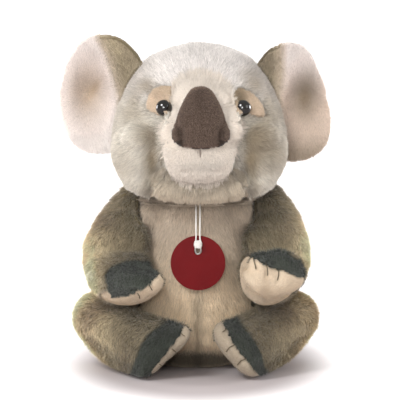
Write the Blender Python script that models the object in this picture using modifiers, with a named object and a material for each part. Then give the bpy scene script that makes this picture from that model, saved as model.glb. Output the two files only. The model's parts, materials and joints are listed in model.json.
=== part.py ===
"""A seated plush koala with a round hang tag, as its sewn skins, fillings, eyes, ears and tag.

The toy sits on the floor, z = 0, and faces -Y. Its own left is +X. Sizes are in metres. The body,
the head and the limbs are stuffed forms: rings along a line, made smooth by a subdivision. Each
skin is such a form less its filling's room, parted where the seams run. A smaller form reaches
into a larger one and is cut by it, with the gap that touching pieces keep.
"""

import math

import bmesh
import bpy
from mathutils import Matrix, Vector

# Shared clearances and cloth
GAP = 0.0003  # between pieces that touch
REST_GAP = 0.0006  # between an arm and the leg that it rests on
CLOTH = 0.0042  # a plush cloth with its pile
BASE_FLAT = 0.0005  # how deep the forms are pressed flat on the floor
LIMB_CLOTH = 0.0056  # a limb's cloth is doubled at its seams
HOLLOW_SIDES = 10
LIMB_HOLLOW_SIDES = 8
CUTTER_REACH = 0.3  # a cutting block is larger than the toy
OVERRUN = 0.002  # a hole's cutter stands out of its plate by this

# Body
NECK_Z = 0.123
BODY_WIDTH = 0.098
BODY_DEPTH = 0.102
BODY_SIDES = 14
SHOULDER_FLAT_X = 0.0405  # half the body's width where the arms are sewn on
SHOULDER_FLAT_Z = 0.044  # the flats run up from here
ARM_CLEAR_Y = -0.020  # the arms close round the chest in front of here
BELLY_SEAM_Y = -0.008  # the belly panels lie in front of this seam
POUCH_WIDTH = 0.064
POUCH_HEIGHT = 0.020
POUCH_FLOOR = 0.009
POUCH_SLIT = 0.030  # the filling parts here to take the pouch in

# Head
HEAD_WIDTH = 0.127
HEAD_HEIGHT = 0.111
HEAD_DEPTH = 0.110
HEAD_SIDES = 14
FACE_Y = -0.040  # the muzzle and the nose stand forward from here
MUZZLE_WIDTH = 0.060
MUZZLE_HEIGHT = 0.078
MUZZLE_DEPTH = 0.044
MUZZLE_BASE_Z = 0.134
NOSE_WIDTH = 0.044
NOSE_HEIGHT = 0.047
NOSE_DEPTH = 0.022
NOSE_BASE_Z = 0.161
CHIN_WIDTH = 0.076
CHIN_HEIGHT = 0.026
CHIN_THICKNESS = 0.024
CHIN_FRONT_Y = -0.047

# Eyes
EYE_SPACING = 0.0584
EYE_Z = 0.1905
EYE_DIAMETER = 0.0096
EYE_DOME = 0.0042
STEM_DIAMETER = 0.0032
STEM_LENGTH = 0.0125
WASHER_DIAMETER = 0.0115
WASHER_THICKNESS = 0.0014
PATCH_WIDTH = 0.019
PATCH_HEIGHT = 0.017
PATCH_THICKNESS = 0.0010
PATCH_OUTWARD = 0.0030  # the patch's middle lies outside and above the eye
PATCH_UPWARD = 0.0040

# Ears
EAR_WIDTH = 0.058
EAR_HEIGHT = 0.085
EAR_FRONT_THICKNESS = 0.0050
EAR_BACK_THICKNESS = 0.0055
EAR_CUP = 0.013
EAR_CURL = 0.015  # how far the upper inner rim rolls forward
EAR_CURL_AT_DEG = 125.0  # where on the rim it does, from straight outward
EAR_MIDDLE_Y = 0.004
EAR_PIVOT_X = 0.056
EAR_OUT_SHARES = {"left": 0.0, "right": 0.10}  # of its width, from the head's side to its middle
EAR_UP_SHARES = {"left": 0.60, "right": 0.65}  # of the head's height
EAR_RING_SHARES = (0.46, 0.84, 1.0)
# The rim's corners round the ear's middle: outward and up, as shares of its width and height
EAR_RIM_SHARES = (
    (0.535, -0.05),
    (0.505, 0.16),
    (0.41, 0.355),
    (0.235, 0.515),
    (-0.02, 0.555),
    (-0.27, 0.455),
    (-0.48, 0.31),
    (-0.60, 0.00),
    (-0.46, -0.36),
    (-0.14, -0.49),
    (0.22, -0.495),
    (0.45, -0.31),
)

# Arms
ARM_THICKNESS = 0.043
ARM_REACH = 0.090
ARM_DROP = 0.042
ARM_SPREAD = 0.0225
SHOULDER_X = 0.0405
SHOULDER_Y = 0.005
SHOULDER_Z = 0.106
ARM_SIDES = 10

# Legs
LEG_REACH = 0.092
LEG_THICKNESS = LEG_REACH * 0.641
LEG_SPREAD = LEG_REACH * 0.685
HIP_X = 0.030
HIP_Y = 0.010
LEG_SIDES = 10

# Hang tag
TAG_DIAMETER = 0.039
TAG_THICKNESS = 0.0012
TAG_HOLE = 0.0056
TAG_HOLE_ABOVE_CENTRE = 0.0086
TAG_LEAN_DEG = 7.0
TAG_HOLE_Y = -0.0478
TAG_HOLE_Z = 0.0886
CORD_DIAMETER = 0.0010
TAG_PIVOT_Y = -0.0400  # where the cord leaves the neck seam
TAG_PIVOT_Z = 0.1205

# How far the joints turn, for the room that the cuts leave
ARM_RAISE_DEG = 25.0
LEG_OUT_DEG = 12.0
LEG_IN_DEG = 3.0
EAR_FLEX_DEG = 10.0

# Rings of the body, from the floor to above the neck:
# height, half width, front and back, as shares of the body's height, width, depth and depth
BODY_RING_SHARES = (
    (-0.010, 0.00, 0.00, 0.00),
    (-0.006, 0.28, 0.25, 0.29),
    (0.073, 0.43, 0.40, 0.44),
    (0.210, 0.50, 0.48, 0.50),
    (0.390, 0.475, 0.50, 0.51),
    (0.580, 0.435, 0.475, 0.48),
    (0.780, 0.410, 0.425, 0.42),
    (0.930, 0.375, 0.38, 0.36),
    (1.060, 0.310, 0.31, 0.28),
    (1.140, 0.00, 0.00, 0.00),
)

# Rings of the head, from under the neck seam to the crown:
# height, half width, front and back, as shares of the head's height, width, depth and depth
HEAD_RING_SHARES = (
    (-0.085, 0.00, 0.08, -0.08),
    (-0.035, 0.25, 0.40, 0.22),
    (0.036, 0.37, 0.49, 0.33),
    (0.145, 0.458, 0.54, 0.40),
    (0.300, 0.50, 0.55, 0.44),
    (0.460, 0.495, 0.525, 0.455),
    (0.625, 0.455, 0.49, 0.45),
    (0.775, 0.385, 0.425, 0.40),
    (0.890, 0.300, 0.32, 0.32),
    (0.965, 0.175, 0.18, 0.19),
    (1.000, 0.00, 0.00, 0.00),
)

# Rings of the muzzle panel, from the forehead down to the mouth:
# height, forward of the face seam, half width, half depth, as shares of height, depth, width, depth
MUZZLE_RING_SHARES = (
    (1.00, -0.06, 0.00, 0.00),
    (0.96, 0.00, 0.26, 0.13),
    (0.84, 0.12, 0.33, 0.24),
    (0.64, 0.26, 0.40, 0.35),
    (0.44, 0.36, 0.47, 0.44),
    (0.26, 0.38, 0.50, 0.46),
    (0.11, 0.32, 0.46, 0.42),
    (0.02, 0.24, 0.31, 0.30),
    (-0.01, 0.22, 0.00, 0.00),
)

# Rings of the nose, from its top down to the lip:
# height, forward of the face seam, half width, half depth, as shares of height, depths and width
NOSE_RING_SHARES = (
    (1.00, 0.70, 0.00, 0.00),
    (0.95, 0.76, 0.18, 0.20),
    (0.76, 0.95, 0.30, 0.38),
    (0.52, 1.16, 0.41, 0.48),
    (0.27, 1.32, 0.49, 0.50),
    (0.09, 1.36, 0.40, 0.38),
    (0.00, 1.30, 0.00, 0.00),
)

# Rings of the chin band, from side to side:
# sideways, forward, height, half thickness, as shares of width, thickness, height and thickness
CHIN_RING_SHARES = (
    (-0.50, -0.55, 0.98, 0.00),
    (-0.46, -0.42, 0.86, 0.26),
    (-0.32, 0.00, 0.52, 0.42),
    (-0.16, 0.24, 0.42, 0.47),
    (0.00, 0.32, 0.40, 0.48),
    (0.16, 0.24, 0.42, 0.47),
    (0.32, 0.00, 0.52, 0.42),
    (0.46, -0.42, 0.86, 0.26),
    (0.50, -0.55, 0.98, 0.00),
)

# Rings of an arm, from the top of the shoulder to the finger tips:
# outward, forward, down, half width, half depth, as shares of the spread, reach, drop and thickness
ARM_RING_SHARES = (
    (0.56, -0.01, -0.56, 0.00, 0.00),
    (0.58, -0.01, -0.45, 0.26, 0.26),
    (0.66, 0.00, -0.18, 0.45, 0.42),
    (0.72, 0.04, 0.16, 0.56, 0.49),
    (0.75, 0.12, 0.47, 0.61, 0.51),
    (0.74, 0.26, 0.72, 0.61, 0.50),
    (0.67, 0.44, 0.87, 0.56, 0.46),
    (0.53, 0.62, 0.92, 0.50, 0.43),
    (0.30, 0.77, 0.92, 0.45, 0.38),
    (0.00, 0.89, 0.88, 0.39, 0.31),
    (-0.38, 0.975, 0.82, 0.26, 0.21),
    (-0.62, 1.00, 0.80, 0.00, 0.00),
)
WRIST_RING = 7  # the cuff seam lies at this ring

# Rings of a leg, from inside the hip to the toes:
# outward, forward, height of the middle, half width, half height, as shares of spread, reach
# and thickness
LEG_RING_SHARES = (
    (-0.20, -0.05, 0.42, 0.00, 0.00),
    (0.00, -0.04, 0.44, 0.28, 0.30),
    (0.22, 0.02, 0.47, 0.43, 0.45),
    (0.47, 0.13, 0.49, 0.51, 0.50),
    (0.53, 0.33, 0.475, 0.49, 0.485),
    (0.42, 0.52, 0.43, 0.43, 0.44),
    (0.27, 0.67, 0.40, 0.33, 0.41),
    (0.12, 0.80, 0.385, 0.25, 0.42),
    (0.00, 0.91, 0.375, 0.215, 0.42),
    (-0.06, 0.985, 0.375, 0.16, 0.33),
    (-0.09, 1.045, 0.375, 0.00, 0.00),
)
ANKLE_RING = 7
LEAN_FROM_RING = 4
LEAN_RINGS = 3  # the foot's lean comes in over these

# Rings of the pellet pouch: height and half width, as shares of its height and width
POUCH_RING_SHARES = ((0.0, 0.0), (0.12, 0.32), (0.5, 0.5), (0.88, 0.32), (1.0, 0.0))

# Which way each palm and sole faces, on the toy's left and right, as shares of a unit vector
PALM_FACING_SHARES = {"left": (-0.10, -0.75, -0.65), "right": (-0.05, 0.50, -0.86)}
PALM_OFFSET_SHARES = {"left": 0.02, "right": 0.16}  # of the arm's thickness, off its middle
SOLE_FACING_SHARES = {"left": (-0.66, -0.30, -0.69), "right": (0.76, -0.12, -0.64)}
FOOT_TILT_DEG = 38.0  # the feet lean outward, so that their soles face in

# The doubled cord's left half, from the neck seam through the tag's hole to its turn behind it.
# Each point is x, y, z in metres, chosen by hand; the right half mirrors it
CORD_HALF_POINTS = (
    (-0.0019, -0.0392, 0.1205),
    (-0.0019, -0.0434, 0.1170),
    (-0.0019, -0.0462, 0.1110),
    (-0.0019, -0.0480, 0.1045),
    (-0.0019, -0.0492, 0.0980),
    (-0.0019, -0.0500, 0.0928),
    (-0.0019, -0.0489, 0.0900),
    (-0.0019, -0.0472, 0.0882),
    (-0.0014, -0.0460, 0.0868),
)
CORD_TURN_POINT = (0.0, -0.0457, 0.0860)
CORD_STEPS = 2  # points read from the curve for each of the list's

SIDES = (("left", 1), ("right", -1))
X_AXIS, Y_AXIS, Z_AXIS = Vector((1, 0, 0)), Vector((0, 1, 0)), Vector((0, 0, 1))

COLOURS = {
    "head": (0.62, 0.57, 0.50),
    "muzzle": (0.80, 0.74, 0.68),
    "chin": (0.40, 0.34, 0.27),
    "nose": (0.10, 0.065, 0.05),
    "suede": (0.60, 0.42, 0.27),
    "eye": (0.008, 0.007, 0.006),
    "olive": (0.19, 0.16, 0.095),
    "dark": (0.035, 0.037, 0.032),
    "belly": (0.56, 0.48, 0.38),
    "ear_front": (0.78, 0.67, 0.62),
    "filling": (0.85, 0.84, 0.80),
    "pellets": (0.70, 0.72, 0.74),
    "plastic": (0.80, 0.80, 0.78),
    "tag": (0.30, 0.008, 0.012),
    "cord": (0.85, 0.84, 0.82),
}
ROUGHNESS = {"eye": 0.06, "tag": 0.25, "plastic": 0.4, "pellets": 0.6}


def clear_scene():
    for obj in list(bpy.data.objects):
        bpy.data.objects.remove(obj, do_unlink=True)


def new_collection(name, hidden=False):
    collection = bpy.data.collections.new(name)
    bpy.context.scene.collection.children.link(collection)
    collection.hide_render = hidden
    return collection


def material(name):
    made = bpy.data.materials.get(name)
    if made:
        return made
    made = bpy.data.materials.new(name)
    made.use_nodes = True
    shader = made.node_tree.nodes["Principled BSDF"]
    shader.inputs["Base Color"].default_value = (*COLOURS[name], 1)
    shader.inputs["Roughness"].default_value = ROUGHNESS.get(name, 0.9)
    shader.inputs["Metallic"].default_value = 0
    return made


def add_part(name, mesh, colour):
    obj = bpy.data.objects.new(name, mesh)
    mesh.materials.clear()
    mesh.materials.append(material(colour))
    mesh.shade_smooth()
    bpy.data.collections["Koala"].objects.link(obj)
    return obj


def add_cutter(name, mesh):
    obj = bpy.data.objects.new(name, mesh)
    obj.hide_render = True
    obj.display_type = "WIRE"
    bpy.data.collections["Cutters"].objects.link(obj)
    return obj


def boolean(obj, operation, other, solver="EXACT"):
    modifier = obj.modifiers.new(operation.title() + " " + other.name, "BOOLEAN")
    modifier.operation = operation
    modifier.object = other
    modifier.solver = solver


def cut(obj, *others):
    for other in others:
        boolean(obj, "DIFFERENCE", other)


def cut_room(obj, *others):
    """Cuts by turned copies, whose faces nearly meet along the joint's axis."""
    for other in others:
        boolean(obj, "DIFFERENCE", other, "MANIFOLD")


def keep(obj, *others):
    for other in others:
        boolean(obj, "INTERSECT", other)


def subdivide(obj, levels=1):
    modifier = obj.modifiers.new("Smooth", "SUBSURF")
    modifier.levels = levels
    modifier.render_levels = levels
    obj.modifiers.new("Flat faces", "TRIANGULATE")


def finished(name, bm):
    """The mesh of a closed shape, its faces turned outward."""
    bmesh.ops.recalc_face_normals(bm, faces=bm.faces)
    mesh = bpy.data.meshes.new(name)
    bm.to_mesh(mesh)
    bm.free()
    return mesh


def flat_rings(table, width, height, depth, middle_y, base_z):
    """Level rings from rows of height, half width, front and back shares."""
    rings = []
    for up, half_width, front, back in table:
        middle = Vector((0, middle_y + (back - front) / 2 * depth, base_z + up * height))
        half_depth = (front + back) / 2 * depth
        rings.append((middle, X_AXIS * half_width * width, Y_AXIS * half_depth))
    return rings


def rings_along(points, halves, reference, rolls=None):
    """Rings square to a line through the points, their width lying along the reference."""
    rings = []
    for i, (middle, (half_width, half_depth)) in enumerate(zip(points, halves)):
        ahead = points[min(i + 1, len(points) - 1)] - points[max(i - 1, 0)]
        tangent = ahead.normalized()
        across = (reference - tangent * reference.dot(tangent)).normalized()
        if rolls:
            across = Matrix.Rotation(rolls[i], 3, tangent) @ across
        rings.append((middle, across * half_width, tangent.cross(across) * half_depth))
    return rings


def form_mesh(name, rings, sides, inset=0.0, smooth=True):
    """A closed cage through the rings, made smaller by the inset. A ring of no width is a pole."""
    turn = 2 * math.pi / sides
    fullness = 1 / (0.75 + math.cos(turn) / 4) if smooth else 1
    widest = max(rings, key=lambda ring: ring[1].length)
    bm = bmesh.new()
    loops = []
    for middle, across, through in rings:
        narrowing = 1 - across.length / widest[1].length
        middle = middle + (widest[0] - middle).normalized() * inset * narrowing
        if across.length == 0:
            loops.append([bm.verts.new(middle)])
            continue
        wide = across * fullness - across.normalized() * inset
        deep = through * fullness - through.normalized() * inset
        loops.append(
            [
                bm.verts.new(middle + wide * math.cos(k * turn) + deep * math.sin(k * turn))
                for k in range(sides)
            ]
        )
    for low, high in zip(loops, loops[1:]):
        for k in range(sides):
            after = (k + 1) % sides
            if len(low) == 1:
                bm.faces.new((low[0], high[after], high[k]))
            elif len(high) == 1:
                bm.faces.new((low[k], low[after], high[0]))
            else:
                bm.faces.new((low[k], low[after], high[after], high[k]))
    if not smooth:
        bmesh.ops.triangulate(bm, faces=bm.faces)
    return finished(name, bm)


def form_cutter(name, rings, sides, inset, smooth=True, levels=1):
    cutter = add_cutter(name, form_mesh(name, rings, sides, inset, smooth))
    if smooth:
        subdivide(cutter, levels)
    return cutter


def block(name, corner_low, corner_high):
    """A cutting box between two corners."""
    low, high = Vector(corner_low), Vector(corner_high)
    bm = bmesh.new()
    bmesh.ops.create_cube(bm, size=1)
    size = Matrix.Diagonal((*(high - low), 1))
    bmesh.ops.transform(bm, matrix=Matrix.Translation((low + high) / 2) @ size, verts=bm.verts)
    return add_cutter(name, finished(name, bm))


def half_space(name, point, facing):
    """A large cube whose one face passes through the point; it lies on the facing side."""
    facing = Vector(facing).normalized()
    bm = bmesh.new()
    bmesh.ops.create_cube(bm, size=CUTTER_REACH)
    place = Matrix.Translation(Vector(point) + facing * CUTTER_REACH / 2)
    turn = facing.to_track_quat("Z", "Y").to_matrix().to_4x4()
    bmesh.ops.transform(bm, matrix=place @ turn, verts=bm.verts)
    return add_cutter(name, finished(name, bm))


def turned_copies(cutter, pivot, axis, degrees):
    """Copies of a cutter turned about a joint, for the room that a moving piece needs."""
    copies = []
    for i, angle in enumerate(degrees):
        copy = add_cutter(f"{cutter.name} turned {i}", cutter.data)
        if cutter.modifiers:
            subdivide(copy, cutter.modifiers["Smooth"].levels)
        about = Matrix.Translation(pivot)
        turn = Matrix.Rotation(math.radians(angle), 4, axis)
        copy.matrix_world = about @ turn @ about.inverted()
        copies.append(copy)
    return copies


def surface_point(obj, start, direction):
    """Where a line from the start meets a form, and the surface's normal there."""
    graph = bpy.context.evaluated_depsgraph_get()
    bpy.context.view_layer.update()
    hit, place, normal, _ = obj.evaluated_get(graph).ray_cast(Vector(start), Vector(direction))
    if not hit:
        raise ValueError(f"no surface of {obj.name} from {start}")
    return place, normal


def body_rings():
    return flat_rings(BODY_RING_SHARES, BODY_WIDTH, NECK_Z, BODY_DEPTH, 0, 0)


def head_rings():
    return flat_rings(HEAD_RING_SHARES, HEAD_WIDTH, HEAD_HEIGHT, HEAD_DEPTH, 0, NECK_Z)


def make_floor_and_neck():
    floor = half_space("Floor", (0, 0, 0), -Z_AXIS)
    above_neck = half_space("Above the neck", (0, 0, NECK_Z), Z_AXIS)
    below_head = half_space("Below the head", (0, 0, NECK_Z + GAP), -Z_AXIS)
    return floor, above_neck, below_head


def shoulder_flats(name, inset):
    """Blocks beside the body's flat shoulders, and as far inward as the inset."""
    flats = []
    for side, sign in SIDES:
        near, far = sorted((sign * (SHOULDER_FLAT_X - inset), sign * CUTTER_REACH))
        low = (near, -CUTTER_REACH, SHOULDER_FLAT_Z - inset)
        flats.append(block(f"{name} {side}", low, (far, CUTTER_REACH, CUTTER_REACH)))
    return flats


def make_body(floor, above_neck):
    rings = body_rings()
    hollow = form_cutter("Body hollow", rings, HOLLOW_SIDES, CLOTH, smooth=False)
    cut(hollow, half_space("Base cloth", (0, 0, CLOTH), -Z_AXIS), *shoulder_flats("Shoulder cloth", CLOTH))
    behind = half_space("Behind the belly seam", (0, BELLY_SEAM_Y, 0), Y_AXIS)
    before = half_space("Before the belly seam", (0, BELLY_SEAM_Y - GAP, 0), -Y_AXIS)
    flats = shoulder_flats("Shoulder flat", 0)
    back = add_part("body_back", form_mesh("body_back", rings, BODY_SIDES), "olive")
    subdivide(back)
    cut(back, hollow, floor, above_neck, *flats)
    keep(back, behind)
    for side, sign in SIDES:
        name = f"belly_{side}"
        belly = add_part(name, form_mesh(name, rings, BODY_SIDES), "belly")
        subdivide(belly)
        cut(belly, hollow, floor, above_neck, *flats)
        keep(belly, before, half_space(f"Half {side}", (sign * GAP / 2, 0, 0), X_AXIS * sign))
    table = [(up, half, half, half) for up, half in POUCH_RING_SHARES]
    pouch_rings = flat_rings(table, POUCH_WIDTH, POUCH_HEIGHT, POUCH_WIDTH, 0, POUCH_FLOOR)
    room = form_cutter("Pouch room", pouch_rings, BODY_SIDES, -GAP)
    pouch = add_part("pellet_pouch", form_mesh("pellet_pouch", pouch_rings, BODY_SIDES), "pellets")
    subdivide(pouch)
    opening = block(
        "Pouch opening",
        (-POUCH_SLIT / 2, -CUTTER_REACH, POUCH_FLOOR + POUCH_HEIGHT / 2),
        (POUCH_SLIT / 2, 0, POUCH_FLOOR + POUCH_HEIGHT / 2 + GAP),
    )
    mesh = form_mesh("body_filling", rings, HOLLOW_SIDES, CLOTH + GAP, smooth=False)
    filling = add_part("body_filling", mesh, "filling")
    base = half_space("Filling base", (0, 0, CLOTH + GAP), -Z_AXIS)
    cut(filling, base, above_neck, room, opening, *shoulder_flats("Filling flat", CLOTH + GAP))
    outside = form_cutter("Body outside", rings, BODY_SIDES, -GAP)
    room = form_cutter("Body room", rings, BODY_SIDES, -REST_GAP)
    return outside, room


def make_head(below_head):
    rings = head_rings()
    hollow = form_cutter("Head hollow", rings, HOLLOW_SIDES, CLOTH, smooth=False)
    outside = form_cutter("Head outside", rings, HEAD_SIDES, -GAP)
    skin = add_part("head_skin", form_mesh("head_skin", rings, HEAD_SIDES), "head")
    subdivide(skin)
    cut(skin, hollow, below_head)
    mesh = form_mesh("head_filling", rings, HOLLOW_SIDES, CLOTH + GAP, smooth=False)
    filling = add_part("head_filling", mesh, "filling")
    cut(filling, below_head)

    def face_rings(table, width, height, depth, middle_depth, base_z):
        points, halves = [], []
        for up, forward, half_width, half_depth in table:
            points.append(
                Vector((0, FACE_Y - forward * middle_depth, base_z + up * height))
            )
            halves.append((half_width * width, half_depth * depth))
        return rings_along(points, halves, X_AXIS)

    muzzle_rings = face_rings(
        MUZZLE_RING_SHARES, MUZZLE_WIDTH, MUZZLE_HEIGHT, MUZZLE_DEPTH, MUZZLE_DEPTH, MUZZLE_BASE_Z
    )
    muzzle = add_part("muzzle", form_mesh("muzzle", muzzle_rings, ARM_SIDES), "muzzle")
    subdivide(muzzle)
    cut(muzzle, outside)
    muzzle_outside = form_cutter("Muzzle outside", muzzle_rings, ARM_SIDES, -GAP)
    nose_rings = face_rings(
        NOSE_RING_SHARES, NOSE_WIDTH, NOSE_HEIGHT, NOSE_DEPTH, NOSE_DEPTH, NOSE_BASE_Z
    )
    nose = add_part("nose", form_mesh("nose", nose_rings, ARM_SIDES), "nose")
    subdivide(nose)
    cut(nose, muzzle_outside, outside)
    points, halves = [], []
    for sideways, forward, up, half in CHIN_RING_SHARES:
        points.append(
            Vector(
                (
                    sideways * CHIN_WIDTH,
                    CHIN_FRONT_Y - forward * CHIN_THICKNESS,
                    NECK_Z + up * CHIN_HEIGHT,
                )
            )
        )
        halves.append((half * CHIN_THICKNESS, half * CHIN_THICKNESS))
    chin_rings = rings_along(points, halves, Y_AXIS)
    chin = add_part("chin", form_mesh("chin", chin_rings, ARM_SIDES), "chin")
    subdivide(chin)
    cut(chin, outside, muzzle_outside, below_head)
    return outside, skin, filling


def rod_mesh(name, diameter, length, top=0.0, segments=20, width_share=1.0):
    """An upright rod or plate whose upper face is at the top."""
    bm = bmesh.new()
    bmesh.ops.create_cone(
        bm,
        cap_ends=True,
        segments=segments,
        radius1=diameter / 2,
        radius2=diameter / 2,
        depth=length,
    )
    stretch = Matrix.Diagonal((width_share, 1, 1, 1))
    place = Matrix.Translation((0, 0, top - length / 2))
    bmesh.ops.transform(bm, matrix=place @ stretch, verts=bm.verts)
    return finished(name, bm)


def dome_mesh(name, diameter, height):
    """The upper half of a flattened ball, closed underneath."""
    bm = bmesh.new()
    bmesh.ops.create_uvsphere(bm, u_segments=20, v_segments=10, radius=diameter / 2)
    flatten = Matrix.Diagonal((1, 1, height / (diameter / 2), 1))
    bmesh.ops.transform(bm, matrix=flatten, verts=bm.verts)
    geometry = [*bm.verts, *bm.edges, *bm.faces]
    made = bmesh.ops.bisect_plane(
        bm, geom=geometry, dist=0, plane_co=(0, 0, 0), plane_no=(0, 0, -1), clear_outer=True
    )
    rim = [edge for edge in made["geom_cut"] if isinstance(edge, bmesh.types.BMEdge)]
    bmesh.ops.contextual_create(bm, geom=rim)
    bmesh.ops.triangulate(bm, faces=bm.faces)
    return finished(name, bm)


def facing_matrix(place, facing):
    return Matrix.Translation(place) @ facing.to_track_quat("Z", "Y").to_matrix().to_4x4()


def make_eye(side, sign, head_outside, skin, filling):
    """A glossy dome on a stem through the skin, held by a washer inside, over a cream patch."""
    start = (sign * EYE_SPACING / 2, -CUTTER_REACH, EYE_Z)
    place, normal = surface_point(head_outside, start, Y_AXIS)
    seat = facing_matrix(place + normal * (PATCH_THICKNESS + GAP), normal)

    def eye_cutter(name, diameter, length, top=0.0):
        cutter = add_cutter(name, rod_mesh(name, diameter, length, top))
        cutter.matrix_world = seat
        return cutter

    name = f"eye_{side}"
    eye = add_part(name, dome_mesh(name, EYE_DIAMETER, EYE_DOME), "eye")
    eye.matrix_world = seat
    overlap = EYE_DOME / 2
    boolean(eye, "UNION", eye_cutter(f"Stem {side}", STEM_DIAMETER, STEM_LENGTH + overlap, overlap))
    hole = eye_cutter(f"Stem hole {side}", STEM_DIAMETER + 2 * GAP, STEM_LENGTH + 2 * GAP, GAP)
    washer_top = WASHER_THICKNESS * 2 - STEM_LENGTH
    room = eye_cutter(
        f"Washer room {side}", WASHER_DIAMETER + 2 * GAP, WASHER_THICKNESS + 2 * GAP, washer_top + GAP
    )
    cut(skin, hole)
    cut(filling, hole, room)
    name = f"eye_washer_{side}"
    washer = add_part(name, rod_mesh(name, WASHER_DIAMETER, WASHER_THICKNESS, washer_top), "plastic")
    washer.matrix_world = seat
    cut(washer, hole)

    middle = (sign * (EYE_SPACING / 2 + PATCH_OUTWARD), -CUTTER_REACH, EYE_Z + PATCH_UPWARD)
    patch_place, patch_normal = surface_point(head_outside, middle, Y_AXIS)
    name = f"eye_patch_{side}"
    share = PATCH_WIDTH / PATCH_HEIGHT
    mesh = rod_mesh(name, PATCH_HEIGHT, PATCH_HEIGHT, PATCH_HEIGHT / 2, width_share=share)
    patch = add_part(name, mesh, "suede")
    patch.matrix_world = facing_matrix(patch_place, patch_normal)
    raised = form_cutter(f"Patch face {side}", head_rings(), HEAD_SIDES, -GAP - PATCH_THICKNESS)
    keep(patch, raised)
    cut(patch, head_outside, hole)


def ear_sheet(sign, middle):
    """The sheet between an ear's two panels: a cupped oval whose upper inner rim rolls forward."""
    bm = bmesh.new()
    centre = bm.verts.new(middle)
    loops = []
    for share in EAR_RING_SHARES:
        loop = []
        for out_share, up_share in EAR_RIM_SHARES:
            out = out_share * share * EAR_WIDTH
            up = up_share * share * EAR_HEIGHT
            angle = math.atan2(up_share, out_share)
            rolled = max(0.0, math.cos(angle - math.radians(EAR_CURL_AT_DEG))) ** 2
            forward = EAR_CUP * share**2 + EAR_CURL * rolled * share**4
            loop.append(bm.verts.new(middle + Vector((sign * out, -forward, up))))
        loops.append(loop)
    sides = len(EAR_RIM_SHARES)
    for k in range(sides):
        after = (k + 1) % sides
        bm.faces.new((centre, loops[0][k], loops[0][after]))
        for low, high in zip(loops, loops[1:]):
            bm.faces.new((low[k], high[k], high[after], low[after]))
    if sign < 0:
        bmesh.ops.reverse_faces(bm, faces=bm.faces)
    bm.normal_update()
    return bm


def make_ears(head_outside):
    """Each ear is two panels on one sheet, cut by the head where it sits and where it flexes to."""
    for side, sign in SIDES:
        middle_x = sign * (HEAD_WIDTH / 2 + EAR_WIDTH * EAR_OUT_SHARES[side])
        middle = Vector((middle_x, EAR_MIDDLE_Y, NECK_Z + HEAD_HEIGHT * EAR_UP_SHARES[side]))
        sheet = ear_sheet(sign, middle)
        front_mesh = bpy.data.meshes.new(f"ear_front_{side}")
        sheet.to_mesh(front_mesh)
        for vertex, normal in [(v, v.normal.copy()) for v in sheet.verts]:
            vertex.co -= normal * GAP
        back_mesh = bpy.data.meshes.new(f"ear_back_{side}")
        sheet.to_mesh(back_mesh)
        sheet.free()
        pivot = Vector((sign * EAR_PIVOT_X, EAR_MIDDLE_Y, middle.z))
        turned = turned_copies(head_outside, pivot, Z_AXIS, (-EAR_FLEX_DEG, EAR_FLEX_DEG))
        for name, mesh, colour, thickness, outward in (
            (f"ear_front_{side}", front_mesh, "ear_front", EAR_FRONT_THICKNESS, 1),
            (f"ear_back_{side}", back_mesh, "olive", EAR_BACK_THICKNESS, -1),
        ):
            panel = add_part(name, mesh, colour)
            solid = panel.modifiers.new("Thickness", "SOLIDIFY")
            solid.thickness = thickness
            solid.offset = outward
            subdivide(panel)
            cut(panel, head_outside)
            cut_room(panel, *turned)


def make_limb(name, hand, rings, sides, cuff_ring, facing, offset, colours, cutters, turned=()):
    """A skin up to its cuff seam, the two panels beyond it and the filling, from one form."""
    hollow = form_cutter(f"{name} hollow", rings, LIMB_HOLLOW_SIDES, LIMB_CLOTH, smooth=False)
    cuff = rings[cuff_ring][0]
    ahead = (rings[cuff_ring + 1][0] - rings[cuff_ring - 1][0]).normalized()
    beyond = half_space(f"{name} beyond cuff", cuff, ahead)
    beyond_gap = half_space(f"{name} beyond seam", cuff + ahead * GAP, ahead)
    facing = Vector(facing).normalized()
    middle = rings[cuff_ring + 2][0] + facing * offset
    under = half_space(f"{name} under", middle, facing)
    over = half_space(f"{name} over", middle - facing * GAP, -facing)
    skin_name, upper_name, under_name, filling_name = hand
    skin = add_part(skin_name, form_mesh(skin_name, rings, sides), colours[0])
    subdivide(skin)
    cut(skin, hollow, beyond, *cutters)
    cut_room(skin, *turned)
    upper = add_part(upper_name, form_mesh(upper_name, rings, sides), colours[1])
    subdivide(upper)
    cut(upper, hollow, *cutters)
    cut_room(upper, *turned)
    keep(upper, beyond_gap, over)
    lower = add_part(under_name, form_mesh(under_name, rings, sides), colours[2])
    subdivide(lower)
    cut(lower, hollow, *cutters)
    cut_room(lower, *turned)
    keep(lower, beyond_gap, under)
    mesh = form_mesh(filling_name, rings, LIMB_HOLLOW_SIDES, LIMB_CLOTH + GAP, smooth=False)
    filling = add_part(filling_name, mesh, "filling")
    cut(filling, *cutters)
    cut_room(filling, *turned)


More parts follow.
